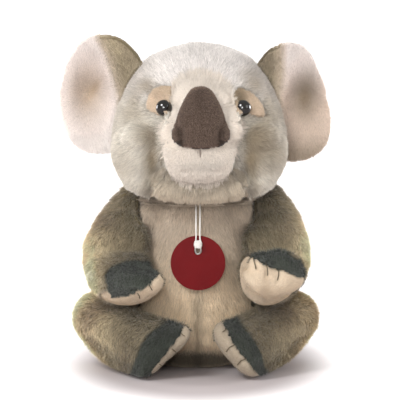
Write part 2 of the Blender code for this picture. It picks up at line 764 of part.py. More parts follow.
def make_arms(body_room, leg_rooms):
    """The arms, cut by the body and the legs wherever the joints take them."""
    turns = (-ARM_RAISE_DEG, -ARM_RAISE_DEG / 2)
    pivot = Vector((0, SHOULDER_Y, SHOULDER_Z))
    body_rooms = [body_room, *turned_copies(body_room, pivot, -X_AXIS, turns)]
    for side, sign in SIDES:
        points, halves = [], []
        for out, forward, down, half_width, half_depth in ARM_RING_SHARES:
            points.append(
                Vector(
                    (
                        sign * (SHOULDER_X + out * ARM_SPREAD),
                        SHOULDER_Y - forward * ARM_REACH,
                        SHOULDER_Z - down * ARM_DROP,
                    )
                )
            )
            halves.append((half_width * ARM_THICKNESS, half_depth * ARM_THICKNESS))
        rings = rings_along(points, halves, X_AXIS)
        near, far = sorted((sign * (SHOULDER_FLAT_X + GAP), -sign * CUTTER_REACH))
        flat = block(
            f"Arm flat {side}",
            (near, ARM_CLEAR_Y, -CUTTER_REACH),
            (far, CUTTER_REACH, CUTTER_REACH),
        )
        names = (f"arm_{side}", f"hand_back_{side}", f"palm_{side}", f"arm_filling_{side}")
        make_limb(
            f"Arm {side}",
            names,
            rings,
            ARM_SIDES,
            WRIST_RING,
            PALM_FACING_SHARES[side],
            PALM_OFFSET_SHARES[side] * ARM_THICKNESS,
            ("olive", "dark", "suede"),
            (flat,),
            [*leg_rooms[side], *body_rooms],
        )


def make_legs(body_outside, floor):
    """The legs, and for each side the room that the arm above leaves for its leg."""
    leg_rooms = {}
    for side, sign in SIDES:
        points, halves, rolls = [], [], []
        for i, (out, forward, up, half_width, half_height) in enumerate(LEG_RING_SHARES):
            points.append(
                Vector(
                    (
                        sign * (HIP_X + out * LEG_SPREAD),
                        HIP_Y - forward * LEG_REACH,
                        up * LEG_THICKNESS - BASE_FLAT,
                    )
                )
            )
            halves.append((half_height * LEG_THICKNESS, half_width * LEG_THICKNESS))
            share = min(1.0, max(0.0, (i - LEAN_FROM_RING) / LEAN_RINGS))
            rolls.append(math.radians(FOOT_TILT_DEG) * share * sign)
        rings = rings_along(points, halves, Z_AXIS, rolls)
        pivot = Vector((sign * BODY_WIDTH / 2, HIP_Y, 0))
        turns = (sign * LEG_IN_DEG, -sign * LEG_OUT_DEG / 2, -sign * LEG_OUT_DEG)
        turned = turned_copies(body_outside, pivot, Z_AXIS, turns)
        room = form_cutter(f"Leg room {side}", rings, LEG_SIDES, -REST_GAP)
        back_turns = [-turn for turn in turns]
        leg_rooms[side] = [room, *turned_copies(room, pivot, Z_AXIS, back_turns)]
        names = (f"leg_{side}", f"foot_top_{side}", f"sole_{side}", f"leg_filling_{side}")
        make_limb(
            f"Leg {side}",
            names,
            rings,
            LEG_SIDES,
            ANKLE_RING,
            SOLE_FACING_SHARES[side],
            0,
            ("olive", "dark", "suede"),
            (floor, body_outside),
            turned,
        )
    return leg_rooms


def smooth_line(points, steps):
    """Points read from a smooth curve through the given ones."""
    ends = [points[0] * 2 - points[1], *points, points[-1] * 2 - points[-2]]
    line = []
    for before, start, end, after in zip(ends, ends[1:], ends[2:], ends[3:]):
        for step in range(steps):
            t = step / steps
            line.append(
                (
                    start * 2
                    + (end - before) * t
                    + (before * 2 - start * 5 + end * 4 - after) * t**2
                    + (start * 3 - before - end * 3 + after) * t**3
                )
                / 2
            )
    return [*line, points[-1]]


def make_tag():
    half = [Vector(point) for point in CORD_HALF_POINTS]
    mirrored = [Vector((-p.x, p.y, p.z)) for p in reversed(half)]
    line = smooth_line([*half, Vector(CORD_TURN_POINT), *mirrored], CORD_STEPS)
    curve = bpy.data.curves.new("tag_cord", "CURVE")
    curve.dimensions = "3D"
    curve.bevel_depth = CORD_DIAMETER / 2
    curve.bevel_resolution = 2
    curve.use_fill_caps = True
    spline = curve.splines.new("POLY")
    spline.points.add(len(line) - 1)
    for point, place in zip(spline.points, line):
        point.co = (*place, 1)
    cord = bpy.data.objects.new("tag_cord", curve)
    curve.materials.append(material("cord"))
    bpy.data.collections["Koala"].objects.link(cord)
    lean = Matrix.Rotation(math.radians(90 - TAG_LEAN_DEG), 4, "X")
    hole_place = Vector((0, TAG_HOLE_Y, TAG_HOLE_Z))
    down = lean.to_3x3() @ Vector((0, -1, 0))
    centre = hole_place + down * TAG_HOLE_ABOVE_CENTRE
    mesh = rod_mesh("tag_disc", TAG_DIAMETER, TAG_THICKNESS, TAG_THICKNESS / 2, segments=48)
    disc = add_part("tag_disc", mesh, "tag")
    disc.matrix_world = Matrix.Translation(centre) @ lean
    through = TAG_THICKNESS + 2 * OVERRUN
    mesh = rod_mesh("Tag hole", TAG_HOLE, through, through / 2)
    hole = add_cutter("Tag hole", mesh)
    hole.matrix_world = Matrix.Translation(hole_place) @ lean
    cut(disc, hole)


def joint_empty(name, place, nodes, parent=None):
    """An empty on a joint's axis, which carries the pieces that move there."""
    empty = bpy.data.objects.new(name, None)
    empty.location = place
    bpy.data.collections["Koala"].objects.link(empty)
    bpy.context.view_layer.update()
    if parent:
        empty.parent = parent
        empty.matrix_parent_inverse = parent.matrix_world.inverted()
        bpy.context.view_layer.update()
    for node in nodes:
        obj = bpy.data.objects[node]
        obj.parent = empty
        obj.matrix_parent_inverse = empty.matrix_world.inverted()
    return empty


def make_joints():
    head_nodes = ["head_skin", "head_filling", "muzzle", "nose", "chin"]
    for side, sign in SIDES:
        head_nodes += [f"eye_{side}", f"eye_washer_{side}", f"eye_patch_{side}"]
    neck = joint_empty("Neck joint", (0, 0, NECK_Z), head_nodes)
    for side, sign in SIDES:
        place = (sign * EAR_PIVOT_X, EAR_MIDDLE_Y, NECK_Z + HEAD_HEIGHT * EAR_UP_SHARES[side])
        joint_empty(f"Ear joint {side}", place, (f"ear_front_{side}", f"ear_back_{side}"), neck)
        nodes = (f"arm_{side}", f"hand_back_{side}", f"palm_{side}", f"arm_filling_{side}")
        joint_empty(f"Shoulder joint {side}", (sign * SHOULDER_X, SHOULDER_Y, SHOULDER_Z), nodes)
        nodes = (f"leg_{side}", f"foot_top_{side}", f"sole_{side}", f"leg_filling_{side}")
        joint_empty(f"Hip joint {side}", (sign * BODY_WIDTH / 2, HIP_Y, 0), nodes)
    joint_empty("Tag joint", (0, TAG_PIVOT_Y, TAG_PIVOT_Z), ("tag_disc", "tag_cord"))


def main():
    clear_scene()
    new_collection("Koala")
    new_collection("Cutters", hidden=True)
    floor, above_neck, below_head = make_floor_and_neck()
    body_outside, body_room = make_body(floor, above_neck)
    head_outside, skin, filling = make_head(below_head)
    for side, sign in SIDES:
        make_eye(side, sign, head_outside, skin, filling)
    make_ears(head_outside)
    make_arms(body_room, make_legs(body_outside, floor))
    make_tag()
    make_joints()


main()
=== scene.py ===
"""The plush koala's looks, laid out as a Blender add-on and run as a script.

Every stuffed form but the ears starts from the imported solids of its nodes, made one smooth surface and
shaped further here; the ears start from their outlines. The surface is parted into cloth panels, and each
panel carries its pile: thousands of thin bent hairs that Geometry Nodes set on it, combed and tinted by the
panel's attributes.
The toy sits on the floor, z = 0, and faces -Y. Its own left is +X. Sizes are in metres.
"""

import json
import math

import bmesh
import bpy
import numpy as np
from mathutils import Euler, Matrix, Vector, noise
from mathutils.bvhtree import BVHTree

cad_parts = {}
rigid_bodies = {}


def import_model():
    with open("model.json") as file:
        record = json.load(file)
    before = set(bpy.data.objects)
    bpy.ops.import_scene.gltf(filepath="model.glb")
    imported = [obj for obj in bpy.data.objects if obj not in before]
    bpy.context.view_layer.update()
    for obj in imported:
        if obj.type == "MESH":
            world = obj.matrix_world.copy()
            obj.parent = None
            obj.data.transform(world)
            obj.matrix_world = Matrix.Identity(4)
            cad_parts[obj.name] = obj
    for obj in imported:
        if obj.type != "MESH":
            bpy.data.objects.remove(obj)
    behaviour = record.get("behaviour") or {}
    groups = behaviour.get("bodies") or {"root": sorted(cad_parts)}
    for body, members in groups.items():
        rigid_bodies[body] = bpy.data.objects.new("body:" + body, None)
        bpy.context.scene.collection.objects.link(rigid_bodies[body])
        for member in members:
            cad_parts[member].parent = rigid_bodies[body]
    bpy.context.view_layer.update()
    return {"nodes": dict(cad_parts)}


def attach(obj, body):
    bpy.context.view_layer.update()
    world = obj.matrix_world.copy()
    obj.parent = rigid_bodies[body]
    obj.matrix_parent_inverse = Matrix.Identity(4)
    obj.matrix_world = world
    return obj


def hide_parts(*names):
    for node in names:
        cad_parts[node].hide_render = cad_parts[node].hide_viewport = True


bl_info = {
    "name": "Plush Koala",
    "version": (1, 0, 0),
    "blender": (4, 5, 0),
    "location": "View3D > Sidebar > Koala",
    "description": "Builds the cloth, pile, eyes, nose and hang tag of a seated plush koala",
    "category": "Object",
}

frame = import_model()
NODES = frame["nodes"]

PIXEL = 0.00072  # the photograph's scale, in metres a pixel
MIDDLE_PX = 198
TOP_HEIGHT = 0.2623  # how high above the floor its upper edge shows, at the toy's middle
CAMERA_ELEVATION_DEG = 7.0
TILT = math.radians(CAMERA_ELEVATION_DEG)
VIEW_WAY = Vector((0, math.cos(TILT), -math.sin(TILT)))
SIDES = (("left", 1), ("right", -1))
MM = 0.001
Y_AXIS = Vector((0, 1, 0))


def mm(*values):
    """A place or size given in millimetres."""
    return np.array(values, float) * MM


def srgb(red, green, blue):
    """A colour as it looks, from 0 to 255, in linear light."""
    channels = np.array((red, green, blue), float) / 255
    return np.where(channels <= 0.04045, channels / 12.92, ((channels + 0.055) / 1.055) ** 2.4)


def colour_property(name, description, colour):
    return bpy.props.FloatVectorProperty(
        name=name, description=description, subtype="COLOR", size=3, min=0, max=1, default=list(srgb(*colour))
    )


class KoalaPile(bpy.types.PropertyGroup):
    """The pile of the plush cloths."""

    density: bpy.props.FloatProperty(
        name="Hairs per square centimetre",
        description="How many hairs stand on a square centimetre of plush",
        default=475,
        min=10,
        max=2000,
    )
    width: bpy.props.FloatProperty(
        name="Hair width",
        description="How wide a hair is at its middle",
        default=0.0003,
        min=0.00005,
        max=0.002,
        unit="LENGTH",
        precision=5,
    )
    head_length: bpy.props.FloatProperty(
        name="Head pile", description="Length of the hairs on the head", default=0.0062, unit="LENGTH"
    )
    body_length: bpy.props.FloatProperty(
        name="Body pile", description="Length of the hairs on the body", default=0.0075, unit="LENGTH"
    )
    limb_length: bpy.props.FloatProperty(
        name="Limb pile", description="Length of the hairs on the limbs", default=0.0070, unit="LENGTH"
    )
    nose_length: bpy.props.FloatProperty(
        name="Nose pile", description="Length of the hairs on the nose", default=0.0014, unit="LENGTH"
    )
    seed: bpy.props.IntProperty(name="Seed", description="Seed of the hairs' places", default=7)


class KoalaColours(bpy.types.PropertyGroup):
    """The cloths' colours."""

    crown: colour_property("Crown", "The pale pile of the forehead", (240, 234, 229))
    head: colour_property("Head", "The pile of the head", (226, 219, 206))
    # The cheek's olive also serves as painted shade in the face's folds, under the brows, on the eye patches
    # and low in the left ear.
    cheek: colour_property("Cheek", "The olive tint in the folds of the cheeks", (148, 131, 104))
    muzzle: colour_property("Muzzle", "The white pile round the nose", (236, 226, 214))
    chin: colour_property("Chin", "The pile under the mouth", (214, 200, 179))
    nose: colour_property("Nose", "The short pile of the nose", (98, 82, 72))
    suede: colour_property("Suede", "The cloth of the palms and soles", (236, 219, 195))
    eye_patch: colour_property("Eye patch", "The cloth round the eyes", (220, 198, 174))
    olive: colour_property("Olive", "The pile of the back, the arms and the legs", (152, 138, 104))
    olive_tip: colour_property("Olive tips", "The pale tips of the olive pile", (212, 196, 164))
    dark: colour_property("Dark", "The pile of the hands' and feet's backs", (76, 80, 72))
    belly: colour_property("Belly", "The pile of the belly", (202, 185, 165))
    belly_low: colour_property("Lower belly", "The pile low on the belly", (236, 214, 182))
    fringe: colour_property("Fringe", "The pale pile beside the palms", (236, 224, 206))
    brown: colour_property("Brown", "The brown that clouds the olive pile", (115, 98, 77))
    ear: colour_property("Ear", "The pile inside the ears", (254, 245, 240))
    # Low in the left ear and deep in both hollows, the lining's darker colours are partly its own warmer tint
    # and partly painted shade.
    ear_low: colour_property("Low in the left ear", "The pile low inside the left ear", (226, 208, 192))
    ear_edge: colour_property("Ear's ridge", "Where the ears' pale pile gives way to olive", (206, 190, 168))
    ear_hollow_left: colour_property("Left ear's hollow", "The pile deep in the left ear", (138, 120, 95))
    ear_hollow_right: colour_property("Right ear's hollow", "The pile deep in the right ear", (198, 173, 143))
    tag: colour_property("Tag", "The hang tag's red", (102, 5, 10))


def pile_settings():
    return bpy.context.scene.koala_pile


def tint(name):
    """A colour of the panel's settings as numbers."""
    return np.array(getattr(bpy.context.scene.koala_colours, name))


# Materials

HAIR_NORMAL_SHARE = 0.72  # of a hair's own normal, the rest being its cloth's
FLOOR_OVAL = (1.12, 0.58, 1)  # the shape of the floor's shaded middle
FLOOR_FADE = (0.075, 0.130)  # how far out, in metres, it starts and ends to grow white


def new_material(name, finish):
    """A new material with its finish: values of its shader, by the names of the inputs."""
    made = bpy.data.materials.new(name)
    made.use_nodes = True
    nodes = made.node_tree.nodes
    shader = nodes["Principled BSDF"]
    for key, value in finish.items():
        shader.inputs[key].default_value = value
    return made, nodes, made.node_tree.links, shader


def add_node(nodes, kind, **settings):
    node = nodes.new(kind)
    for key, value in settings.items():
        if key in node.bl_rna.properties:
            setattr(node, key, value)
        else:
            node.inputs[key].default_value = value
    return node


def attribute(nodes, name):
    """The outputs that read one of a piece's attributes."""
    return add_node(nodes, "ShaderNodeAttribute", attribute_name=name).outputs


def fill_sockets(links, sockets, values):
    """Gives each socket a value, or links it to the socket given in its place."""
    for socket, value in zip(sockets, values):
        if isinstance(value, bpy.types.NodeSocket):
            links.new(value, socket)
        else:
            socket.default_value = value


def math_node(nodes, links, operation, *values):
    node = add_node(nodes, "ShaderNodeMath", operation=operation)
    fill_sockets(links, node.inputs, values)
    return node.outputs[0]


def vector_node(nodes, links, operation, *values):
    node = add_node(nodes, "ShaderNodeVectorMath", operation=operation)
    sockets = [node.inputs[0], node.inputs["Scale"]] if operation == "SCALE" else node.inputs
    fill_sockets(links, sockets, values)
    return node.outputs["Value" if operation == "LENGTH" else "Vector"]


def mix_colours(nodes, links, share, first, second, blend_type="MIX"):
    node = add_node(nodes, "ShaderNodeMix", data_type="RGBA", blend_type=blend_type)
    sockets = {s.identifier: s for s in node.inputs}
    given = [c if isinstance(c, bpy.types.NodeSocket) else (*c, 1) for c in (first, second)]
    fill_sockets(links, [sockets[key] for key in ("Factor_Float", "A_Color", "B_Color")], (share, *given))
    return next(s for s in node.outputs if s.identifier == "Result_Color")


def noise_node(nodes, links, scale, detail=2.0, roughness=0.5):
    """Noise on Object coordinates."""
    place = nodes.new("ShaderNodeTexCoord")
    noise = add_node(nodes, "ShaderNodeTexNoise", Scale=scale, Detail=detail, Roughness=roughness)
    links.new(place.outputs["Object"], noise.inputs["Vector"])
    return noise.outputs[0]


def bump_node(nodes, links, height, distance, strength=1.0):
    bump = add_node(nodes, "ShaderNodeBump", Strength=strength, Distance=distance)
    links.new(height, bump.inputs["Height"])
    return bump.outputs[0]


def pile_material(name, root_shade, sheen, grain=1.0):
    """Hairs tinted by the panel, with its root colour below and its tip colour above.

    The root shade darkens the roots, and the grain is how far each hair's tone is its own.
    """
    made, nodes, links, shader = new_material(
        name,
        {"Roughness": 0.75, "Specular IOR Level": 0.25, "Sheen Weight": sheen, "Sheen Roughness": 0.45},
    )
    along = attribute(nodes, "along")["Fac"]
    root, tip = attribute(nodes, "root_colour")["Color"], attribute(nodes, "tip_colour")["Color"]
    mixed = mix_colours(nodes, links, along, root, tip)
    clouds = noise_node(nodes, links, 90.0, 3.0)
    flecks = noise_node(nodes, links, 850.0, 2.0, 0.7)
    shade = math_node(nodes, links, "MULTIPLY_ADD", clouds, 0.30, 0.65 + 0.20 * (1 - grain))
    fine = math_node(nodes, links, "MULTIPLY", flecks, 0.40 * grain)
    shade = math_node(nodes, links, "ADD", shade, fine)
    tone = math_node(nodes, links, "MULTIPLY_ADD", attribute(nodes, "tone")["Fac"], grain, 1 - grain)
    shade = math_node(nodes, links, "MULTIPLY", shade, tone)
    depth = math_node(nodes, links, "MULTIPLY_ADD", along, 1 - root_shade, root_shade)
    shade = math_node(nodes, links, "MULTIPLY", shade, depth)
    links.new(vector_node(nodes, links, "SCALE", mixed, shade), shader.inputs["Base Color"])

    # The light falls on a hair partly as it does on the cloth under it, mostly as on its own face.
    turned = add_node(
        nodes, "ShaderNodeVectorTransform", vector_type="NORMAL", convert_from="OBJECT", convert_to="WORLD"
    )
    links.new(attribute(nodes, "cloth_normal")["Vector"], turned.inputs[0])
    own = nodes.new("ShaderNodeNewGeometry").outputs["Normal"]
    both = add_node(nodes, "ShaderNodeMix", data_type="VECTOR")
    sockets = {s.identifier: s for s in both.inputs}
    keys = ("Factor_Float", "A_Vector", "B_Vector")
    fill_sockets(links, [sockets[key] for key in keys], (HAIR_NORMAL_SHARE, turned.outputs[0], own))
    blended = next(s for s in both.outputs if s.identifier == "Result_Vector")
    links.new(vector_node(nodes, links, "NORMALIZE", blended), shader.inputs["Normal"])
    return made


def cloth_material(name):
    """The knitted backing that the pile stands on."""
    made, nodes, links, shader = new_material(
        name, {"Roughness": 0.95, "Specular IOR Level": 0.1, "Sheen Weight": 0.2}
    )
    clouds = noise_node(nodes, links, 500.0, 3.0)
    shade = math_node(nodes, links, "MULTIPLY_ADD", clouds, 0.3, 0.65)
    root = attribute(nodes, "root_colour")["Color"]
    links.new(vector_node(nodes, links, "SCALE", root, shade), shader.inputs["Base Color"])
    knit = noise_node(nodes, links, 2600.0, 2.0)
    links.new(bump_node(nodes, links, knit, 0.0004), shader.inputs["Normal"])
    return made


def suede_material(name):
    """A napped cloth in the panel's colour: broad and fine mottling, a fine bump, a soft sheen."""
    made, nodes, links, shader = new_material(
        name,
        {"Roughness": 0.92, "Specular IOR Level": 0.15, "Sheen Weight": 0.35, "Sheen Roughness": 0.4},
    )
    broad = noise_node(nodes, links, 120.0, 4.0, 0.6)
    fine = noise_node(nodes, links, 1500.0, 3.0, 0.7)
    cloud = mix_colours(nodes, links, broad, (0.78, 0.76, 0.74), (1.0, 1.0, 1.0))
    base = mix_colours(nodes, links, 1.0, attribute(nodes, "root_colour")["Color"], cloud, "MULTIPLY")
    grain = mix_colours(nodes, links, fine, (0.72, 0.70, 0.66), (1.0, 1.0, 1.0))
    shown = mix_colours(nodes, links, 0.6, base, grain, "MULTIPLY")
    links.new(shown, shader.inputs["Base Color"])
    links.new(bump_node(nodes, links, fine, 0.0003, 0.7), shader.inputs["Normal"])
    return made


def grained_material(name, colour, low, high, grain, ripple, finish):
    """One colour that noise darkens to low and lightens to high times itself, with a bump.

    The grain is the noise's settings. The ripple is the bump's own noise, or None for the same
    noise, then its depth and its strength.
    """
    made, nodes, links, shader = new_material(name, finish)
    clouds = noise_node(nodes, links, *grain)
    shown = mix_colours(nodes, links, clouds, np.array(colour) * low, np.minimum(np.array(colour) * high, 1))
    links.new(shown, shader.inputs["Base Color"])
    own, *bump = ripple
    height = noise_node(nodes, links, *own) if own else clouds
    links.new(bump_node(nodes, links, height, *bump), shader.inputs["Normal"])
    return made


def thread_material(name, colour):
    return grained_material(name, colour, 0.7, 1.15, (2200.0, 2.0), (None, 0.0002), {"Roughness": 0.7})


def plain_material(name, colour, roughness, scale, grain=0.25):
    ripple = (None, 0.0002)
    finish = {"Roughness": roughness}
    return grained_material(name, colour, 1 - grain, 1 + grain, (scale, 4.0, 0.6), ripple, finish)


def tag_material():
    """Glossy lacquered card: a faint unevenness in the red, and a soft ripple in the gloss."""
    ripple = ((240.0, 2.0), 0.00008, 0.5)
    finish = {"Roughness": 0.28, "Specular IOR Level": 0.04}
    return grained_material("Tag card", tint("tag"), 0.82, 1.15, (60.0, 3.0), ripple, finish)


def eye_material():
    made, nodes, links, shader = new_material(
        "Eye bead", {"Roughness": 0.07, "Coat Weight": 0.6, "Coat Roughness": 0.03}
    )
    depth = noise_node(nodes, links, 400.0, 2.0)
    shown = mix_colours(nodes, links, depth, (0.004, 0.004, 0.004), (0.012, 0.009, 0.007))
    links.new(shown, shader.inputs["Base Color"])
    return made


def floor_material():
    """A pale floor, left darker round the toy as painted shadow. The camera sees it grow white away from the
    toy.
    """
    made, nodes, links, shader = new_material(
        "Pale floor",
        {
            "Base Color": (0.50, 0.45, 0.45, 1),
            "Roughness": 0.9,
            "Specular IOR Level": 0.1,
            "Emission Color": (1, 1, 1, 1),
        },
    )
    place = nodes.new("ShaderNodeTexCoord").outputs["Object"]
    oval = vector_node(nodes, links, "MULTIPLY", place, FLOOR_OVAL)
    far = add_node(nodes, "ShaderNodeMapRange", interpolation_type="SMOOTHSTEP")
    far.inputs["From Min"].default_value, far.inputs["From Max"].default_value = FLOOR_FADE
    links.new(vector_node(nodes, links, "LENGTH", oval), far.inputs["Value"])
    rays = nodes.new("ShaderNodeLightPath").outputs
    glow = math_node(nodes, links, "MULTIPLY", far.outputs["Result"], rays["Is Camera Ray"])
    links.new(glow, shader.inputs["Emission Strength"])
    return made


MATERIALS = {}


def material(name):
    """A finish by its name, made when it is first asked for."""
    makers = {
        "plush": lambda: pile_material("Plush pile", 0.70, 0.5, 0.7),
        "backing": lambda: cloth_material("Knitted backing"),
        "nose": lambda: pile_material("Nose pile", 0.70, 0.1),
        "ear": lambda: pile_material("Ear pile", 0.92, 0.5, 0.25),
        "olive": lambda: pile_material("Olive pile", 0.48, 0.6),
        "suede": lambda: suede_material("Suede"),
        "seam": lambda: thread_material("Seam thread", tint("cheek") * 0.5),
        "mouth": lambda: thread_material("Mouth thread", srgb(120, 96, 84)),
        "cord": lambda: thread_material("Tag cord", srgb(238, 236, 230)),
        "eye": eye_material,
        "tag": tag_material,
        "pouch": lambda: plain_material("Pouch cloth", srgb(214, 216, 220), 0.9, 900.0),
        "washer": lambda: plain_material("Washer plastic", srgb(225, 224, 220), 0.45, 300.0, 0.08),
    }
    if name not in MATERIALS:
        MATERIALS[name] = makers[name]()
    return MATERIALS[name]


# Forms: closed surfaces as arrays


class Form:
    """A surface of four-sided faces, as an array of points and an array of faces."""

    def __init__(self, points, faces):
        self.points = points
        self.faces = faces

    def normals(self):
        p = self.points[self.faces]
        across = np.cross(p[:, 2] - p[:, 0], p[:, 3] - p[:, 1])
        normals = np.zeros_like(self.points)
        for corner in range(4):
            np.add.at(normals, self.faces[:, corner], across)
        return normals / np.maximum(np.linalg.norm(normals, axis=1, keepdims=True), 1e-12)

    def edges(self):
        edges = np.concatenate([self.faces[:, [k, (k + 1) % 4]] for k in range(4)])
        return np.unique(np.sort(edges, axis=1), axis=0)

    def blur(self, values, times):
        """Evens out a value that each point has, along the surface."""
        edges = self.edges()
        count = np.bincount(edges.ravel(), minlength=len(values))
        for _ in range(times):
            total = np.bincount(edges[:, 0], values[edges[:, 1]], len(values))
            total += np.bincount(edges[:, 1], values[edges[:, 0]], len(values))
            values = (values + total / count) / 2
        return values

    def smooth(self, times):
        """Evens the surface out, inward and back out again, so that it keeps its volume."""
        edges = self.edges()
        count = np.bincount(edges.ravel(), minlength=len(self.points))[:, None]
        for _ in range(times):
            for share in (0.5, -0.52):
                total = np.zeros_like(self.points)
                np.add.at(total, edges[:, 0], self.points[edges[:, 1]])
                np.add.at(total, edges[:, 1], self.points[edges[:, 0]])
                self.points += (total / count - self.points) * share
        return self

    def push(self, place, radius, by):
        """Moves what lies round a place, given in millimetres as its radius and move are."""
        self.points += blob(self.points, place, radius)[:, None] * mm(*by)

    def crease(self, line, width, depth):
        """A groove along a line of places in millimetres."""
        weight = near_line(self.points, line, width)
        self.points -= self.normals() * (weight * depth * MM)[:, None]

    def crease_seen(self, line, width, depth):
        """A groove along a line of the photograph's pixels, on the side that the photograph shows."""
        tree = self.tree()
        hits = [tree.ray_cast(Vector(unseen(np.array(place))), VIEW_WAY)[0] for place in line]
        hits = [np.array(hit) / MM for hit in hits if hit]
        if len(hits) > 1:
            self.crease(hits, width, depth)

    def fit_sides(self, heights, half_widths, only=0):
        """Widens or narrows the form to its half widths at some heights, in millimetres.

        Only is 1 or -1 for one side, left or right.
        """
        x, z = self.points[:, 0] / MM, self.points[:, 2] / MM
        levels = np.linspace(min(heights), max(heights), 30)
        for sign in (only,) if only else (1, -1):
            now = np.array([np.max(sign * x[np.abs(z - level) < 2.5], initial=1) for level in levels])
            now = np.convolve(np.pad(now, 2, "edge"), np.full(5, 0.2), "valid")
            share = np.interp(levels, heights, half_widths) / now
            whole = np.interp(z, levels, now)
            weight = ramp(sign * x / whole, 0.25, 1.0)
            self.points[:, 0] *= 1 + (np.interp(z, levels, share) - 1) * weight

    def keep_out(self, other, gap):
        """Moves what lies inside another form, or nearer than a gap, out of it."""
        tree = other.tree()
        for index, point in enumerate(self.points.tolist()):
            place, normal, _, reach = tree.find_nearest(point, 0.02)
            if place is None:
                continue
            height = (Vector(point) - place).dot(normal)
            if height < gap:
                self.points[index] += np.array(normal) * (gap - height)

    def tree(self):
        return BVHTree.FromPolygons(self.points.tolist(), self.faces.tolist())


def read_mesh(mesh):
    points = np.empty(len(mesh.vertices) * 3, np.float32)
    mesh.vertices.foreach_get("co", points)
    faces = np.empty(len(mesh.loops), np.int32)
    mesh.loops.foreach_get("vertex_index", faces)
    return points.reshape(-1, 3).astype(float), faces.reshape(len(mesh.polygons), -1)


def form_of_nodes(names, voxel, balls=()):
    """The outer surface of some nodes' solids together, as even four-sided faces.

    Balls, each a place and radii in millimetres and its turn about X, Y and Z in degrees, join it.
    """
    bm = bmesh.new()
    for name in names:
        bm.from_mesh(NODES[name].data)
    bmesh.ops.remove_doubles(bm, verts=bm.verts, dist=MM / 1000)
    for place, radii, turn in balls:
        turned = Euler([math.radians(angle) for angle in turn])
        matrix = Matrix.LocRotScale(Vector(place) * MM, turned, Vector(radii) * MM)
        bmesh.ops.create_icosphere(bm, subdivisions=4, radius=1, matrix=matrix)
    return even_form(bm, voxel)


def even_form(bm, voxel):
    """The outer surface of some solids as even four-sided faces."""
    mesh = bpy.data.meshes.new("Joined solids")
    bm.to_mesh(mesh)
    bm.free()
    obj = link(bpy.data.objects.new("Joined solids", mesh))
    remesh = obj.modifiers.new("Even faces", "REMESH")
    remesh.mode = "VOXEL"
    remesh.voxel_size = voxel
    form = Form(*read_mesh(evaluated_mesh(obj)))
    bpy.data.objects.remove(obj)
    return largest_part(form)


def largest_part(form):
    """Drops what isn't joined to the outer surface."""
    label = np.arange(len(form.points))
    while True:
        lowest = label[form.faces].min(axis=1)
        new = label.copy()
        np.minimum.at(new, form.faces.ravel(), np.repeat(lowest, 4))
        new = new[new]
        if (new == label).all():
            break
        label = new
    names, counts = np.unique(label, return_counts=True)
    kept = label == names[np.argmax(counts)]
    index = np.cumsum(kept) - 1
    faces = form.faces[kept[form.faces[:, 0]]]
    return Form(form.points[kept], index[faces])


def solid_tree(name):
    """A node's solid, for finding what lies nearest to it."""
    points, faces = read_mesh(NODES[name].data)
    return BVHTree.FromPolygons(points.tolist(), faces.tolist())


def nearest_node(points, names):
    """For each point, which of the nodes lies nearest."""
    trees = [solid_tree(name) for name in names]
    return np.argmin([[tree.find_nearest(p)[3] for p in points.tolist()] for tree in trees], axis=0)


def depth_inside(points, form):
    """How deep each point lies inside a form; negative outside."""
    tree = form.tree()
    depths = []
    for point in points.tolist():
        place, normal, _, gap = tree.find_nearest(point)
        outward = (Vector(point) - place).dot(normal)
        depths.append(-gap if outward > 0 else gap)
    return np.array(depths)


def ramp(values, low, high):
    """From 0 at low to 1 at high, smoothly."""
    share = np.clip((values - low) / (high - low), 0, 1)
    return share * share * (3 - 2 * share)


def blob(points, place, radius):
    """1 at a place in millimetres, falling to 0 at the radius."""
    reach = np.linalg.norm((points - mm(*place)) / mm(*np.broadcast_to(radius, 3)), axis=1)
    return np.clip(1 - reach**2, 0, 1) ** 2


def near_line(points, line, width):
    """1 on a line of places in millimetres, falling off across its width."""
    line = [mm(*place) for place in line]
    nearest = np.full(len(points), np.inf)
    for start, end in zip(line, line[1:]):
        along = end - start
        share = np.clip((points - start) @ along / (along @ along), 0, 1)
        gaps = np.linalg.norm(points - start - share[:, None] * along, axis=1)
        nearest = np.minimum(nearest, gaps)
    return np.exp(-((nearest / (width * MM)) ** 2))


def soft_clouds(points, size):
    """Clouds round 0, so many millimetres across."""
    return np.array([noise.noise(p) for p in (points / (size * MM)).tolist()]) * 1.4


def mottle(points, size, strength):
    """Clouds round 1, so many millimetres across, to shade a list of colours with."""
    return (1 + soft_clouds(points, size) * strength)[:, None]


def seen(points):
    """The photograph's pixels at which points show."""
    height = points[:, 2] * math.cos(TILT) + points[:, 1] * math.sin(TILT)
    return np.stack([MIDDLE_PX + points[:, 0] / PIXEL, (TOP_HEIGHT - height) / PIXEL], axis=1)


def unseen(pixel):
    """A place in front of the toy that shows at a pixel."""
    across = (pixel[0] - MIDDLE_PX) * PIXEL
    height = TOP_HEIGHT - pixel[1] * PIXEL
    up = np.array((0, math.sin(TILT), math.cos(TILT)))
    return np.array((across, 0, 0)) + up * height - np.array(VIEW_WAY) * 0.3


def inside(spots, outline):
    """Which spots lie inside an outline."""
    outline = np.array(outline, float)
    within = np.zeros(len(spots), bool)
    for start, end in zip(outline, np.roll(outline, -1, axis=0)):
        spans = (start[1] > spots[:, 1]) != (end[1] > spots[:, 1])
        slope = (end[0] - start[0]) / (end[1] - start[1] or 1e-9)
        within ^= spans & (spots[:, 0] < start[0] + (spots[:, 1] - start[1]) * slope)
    return within


def blend_colours(weights, first, second):
    weights = np.asarray(weights)[:, None]
    return first * (1 - weights) + second * weights


# Pieces


def link(obj):
    bpy.context.scene.collection.objects.link(obj)
    return obj


def put_piece(obj, body, slot, *replaced):
    """A finished piece rides on its body and stands for its nodes."""
    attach(obj, body)
    if replaced:
        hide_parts(*replaced)


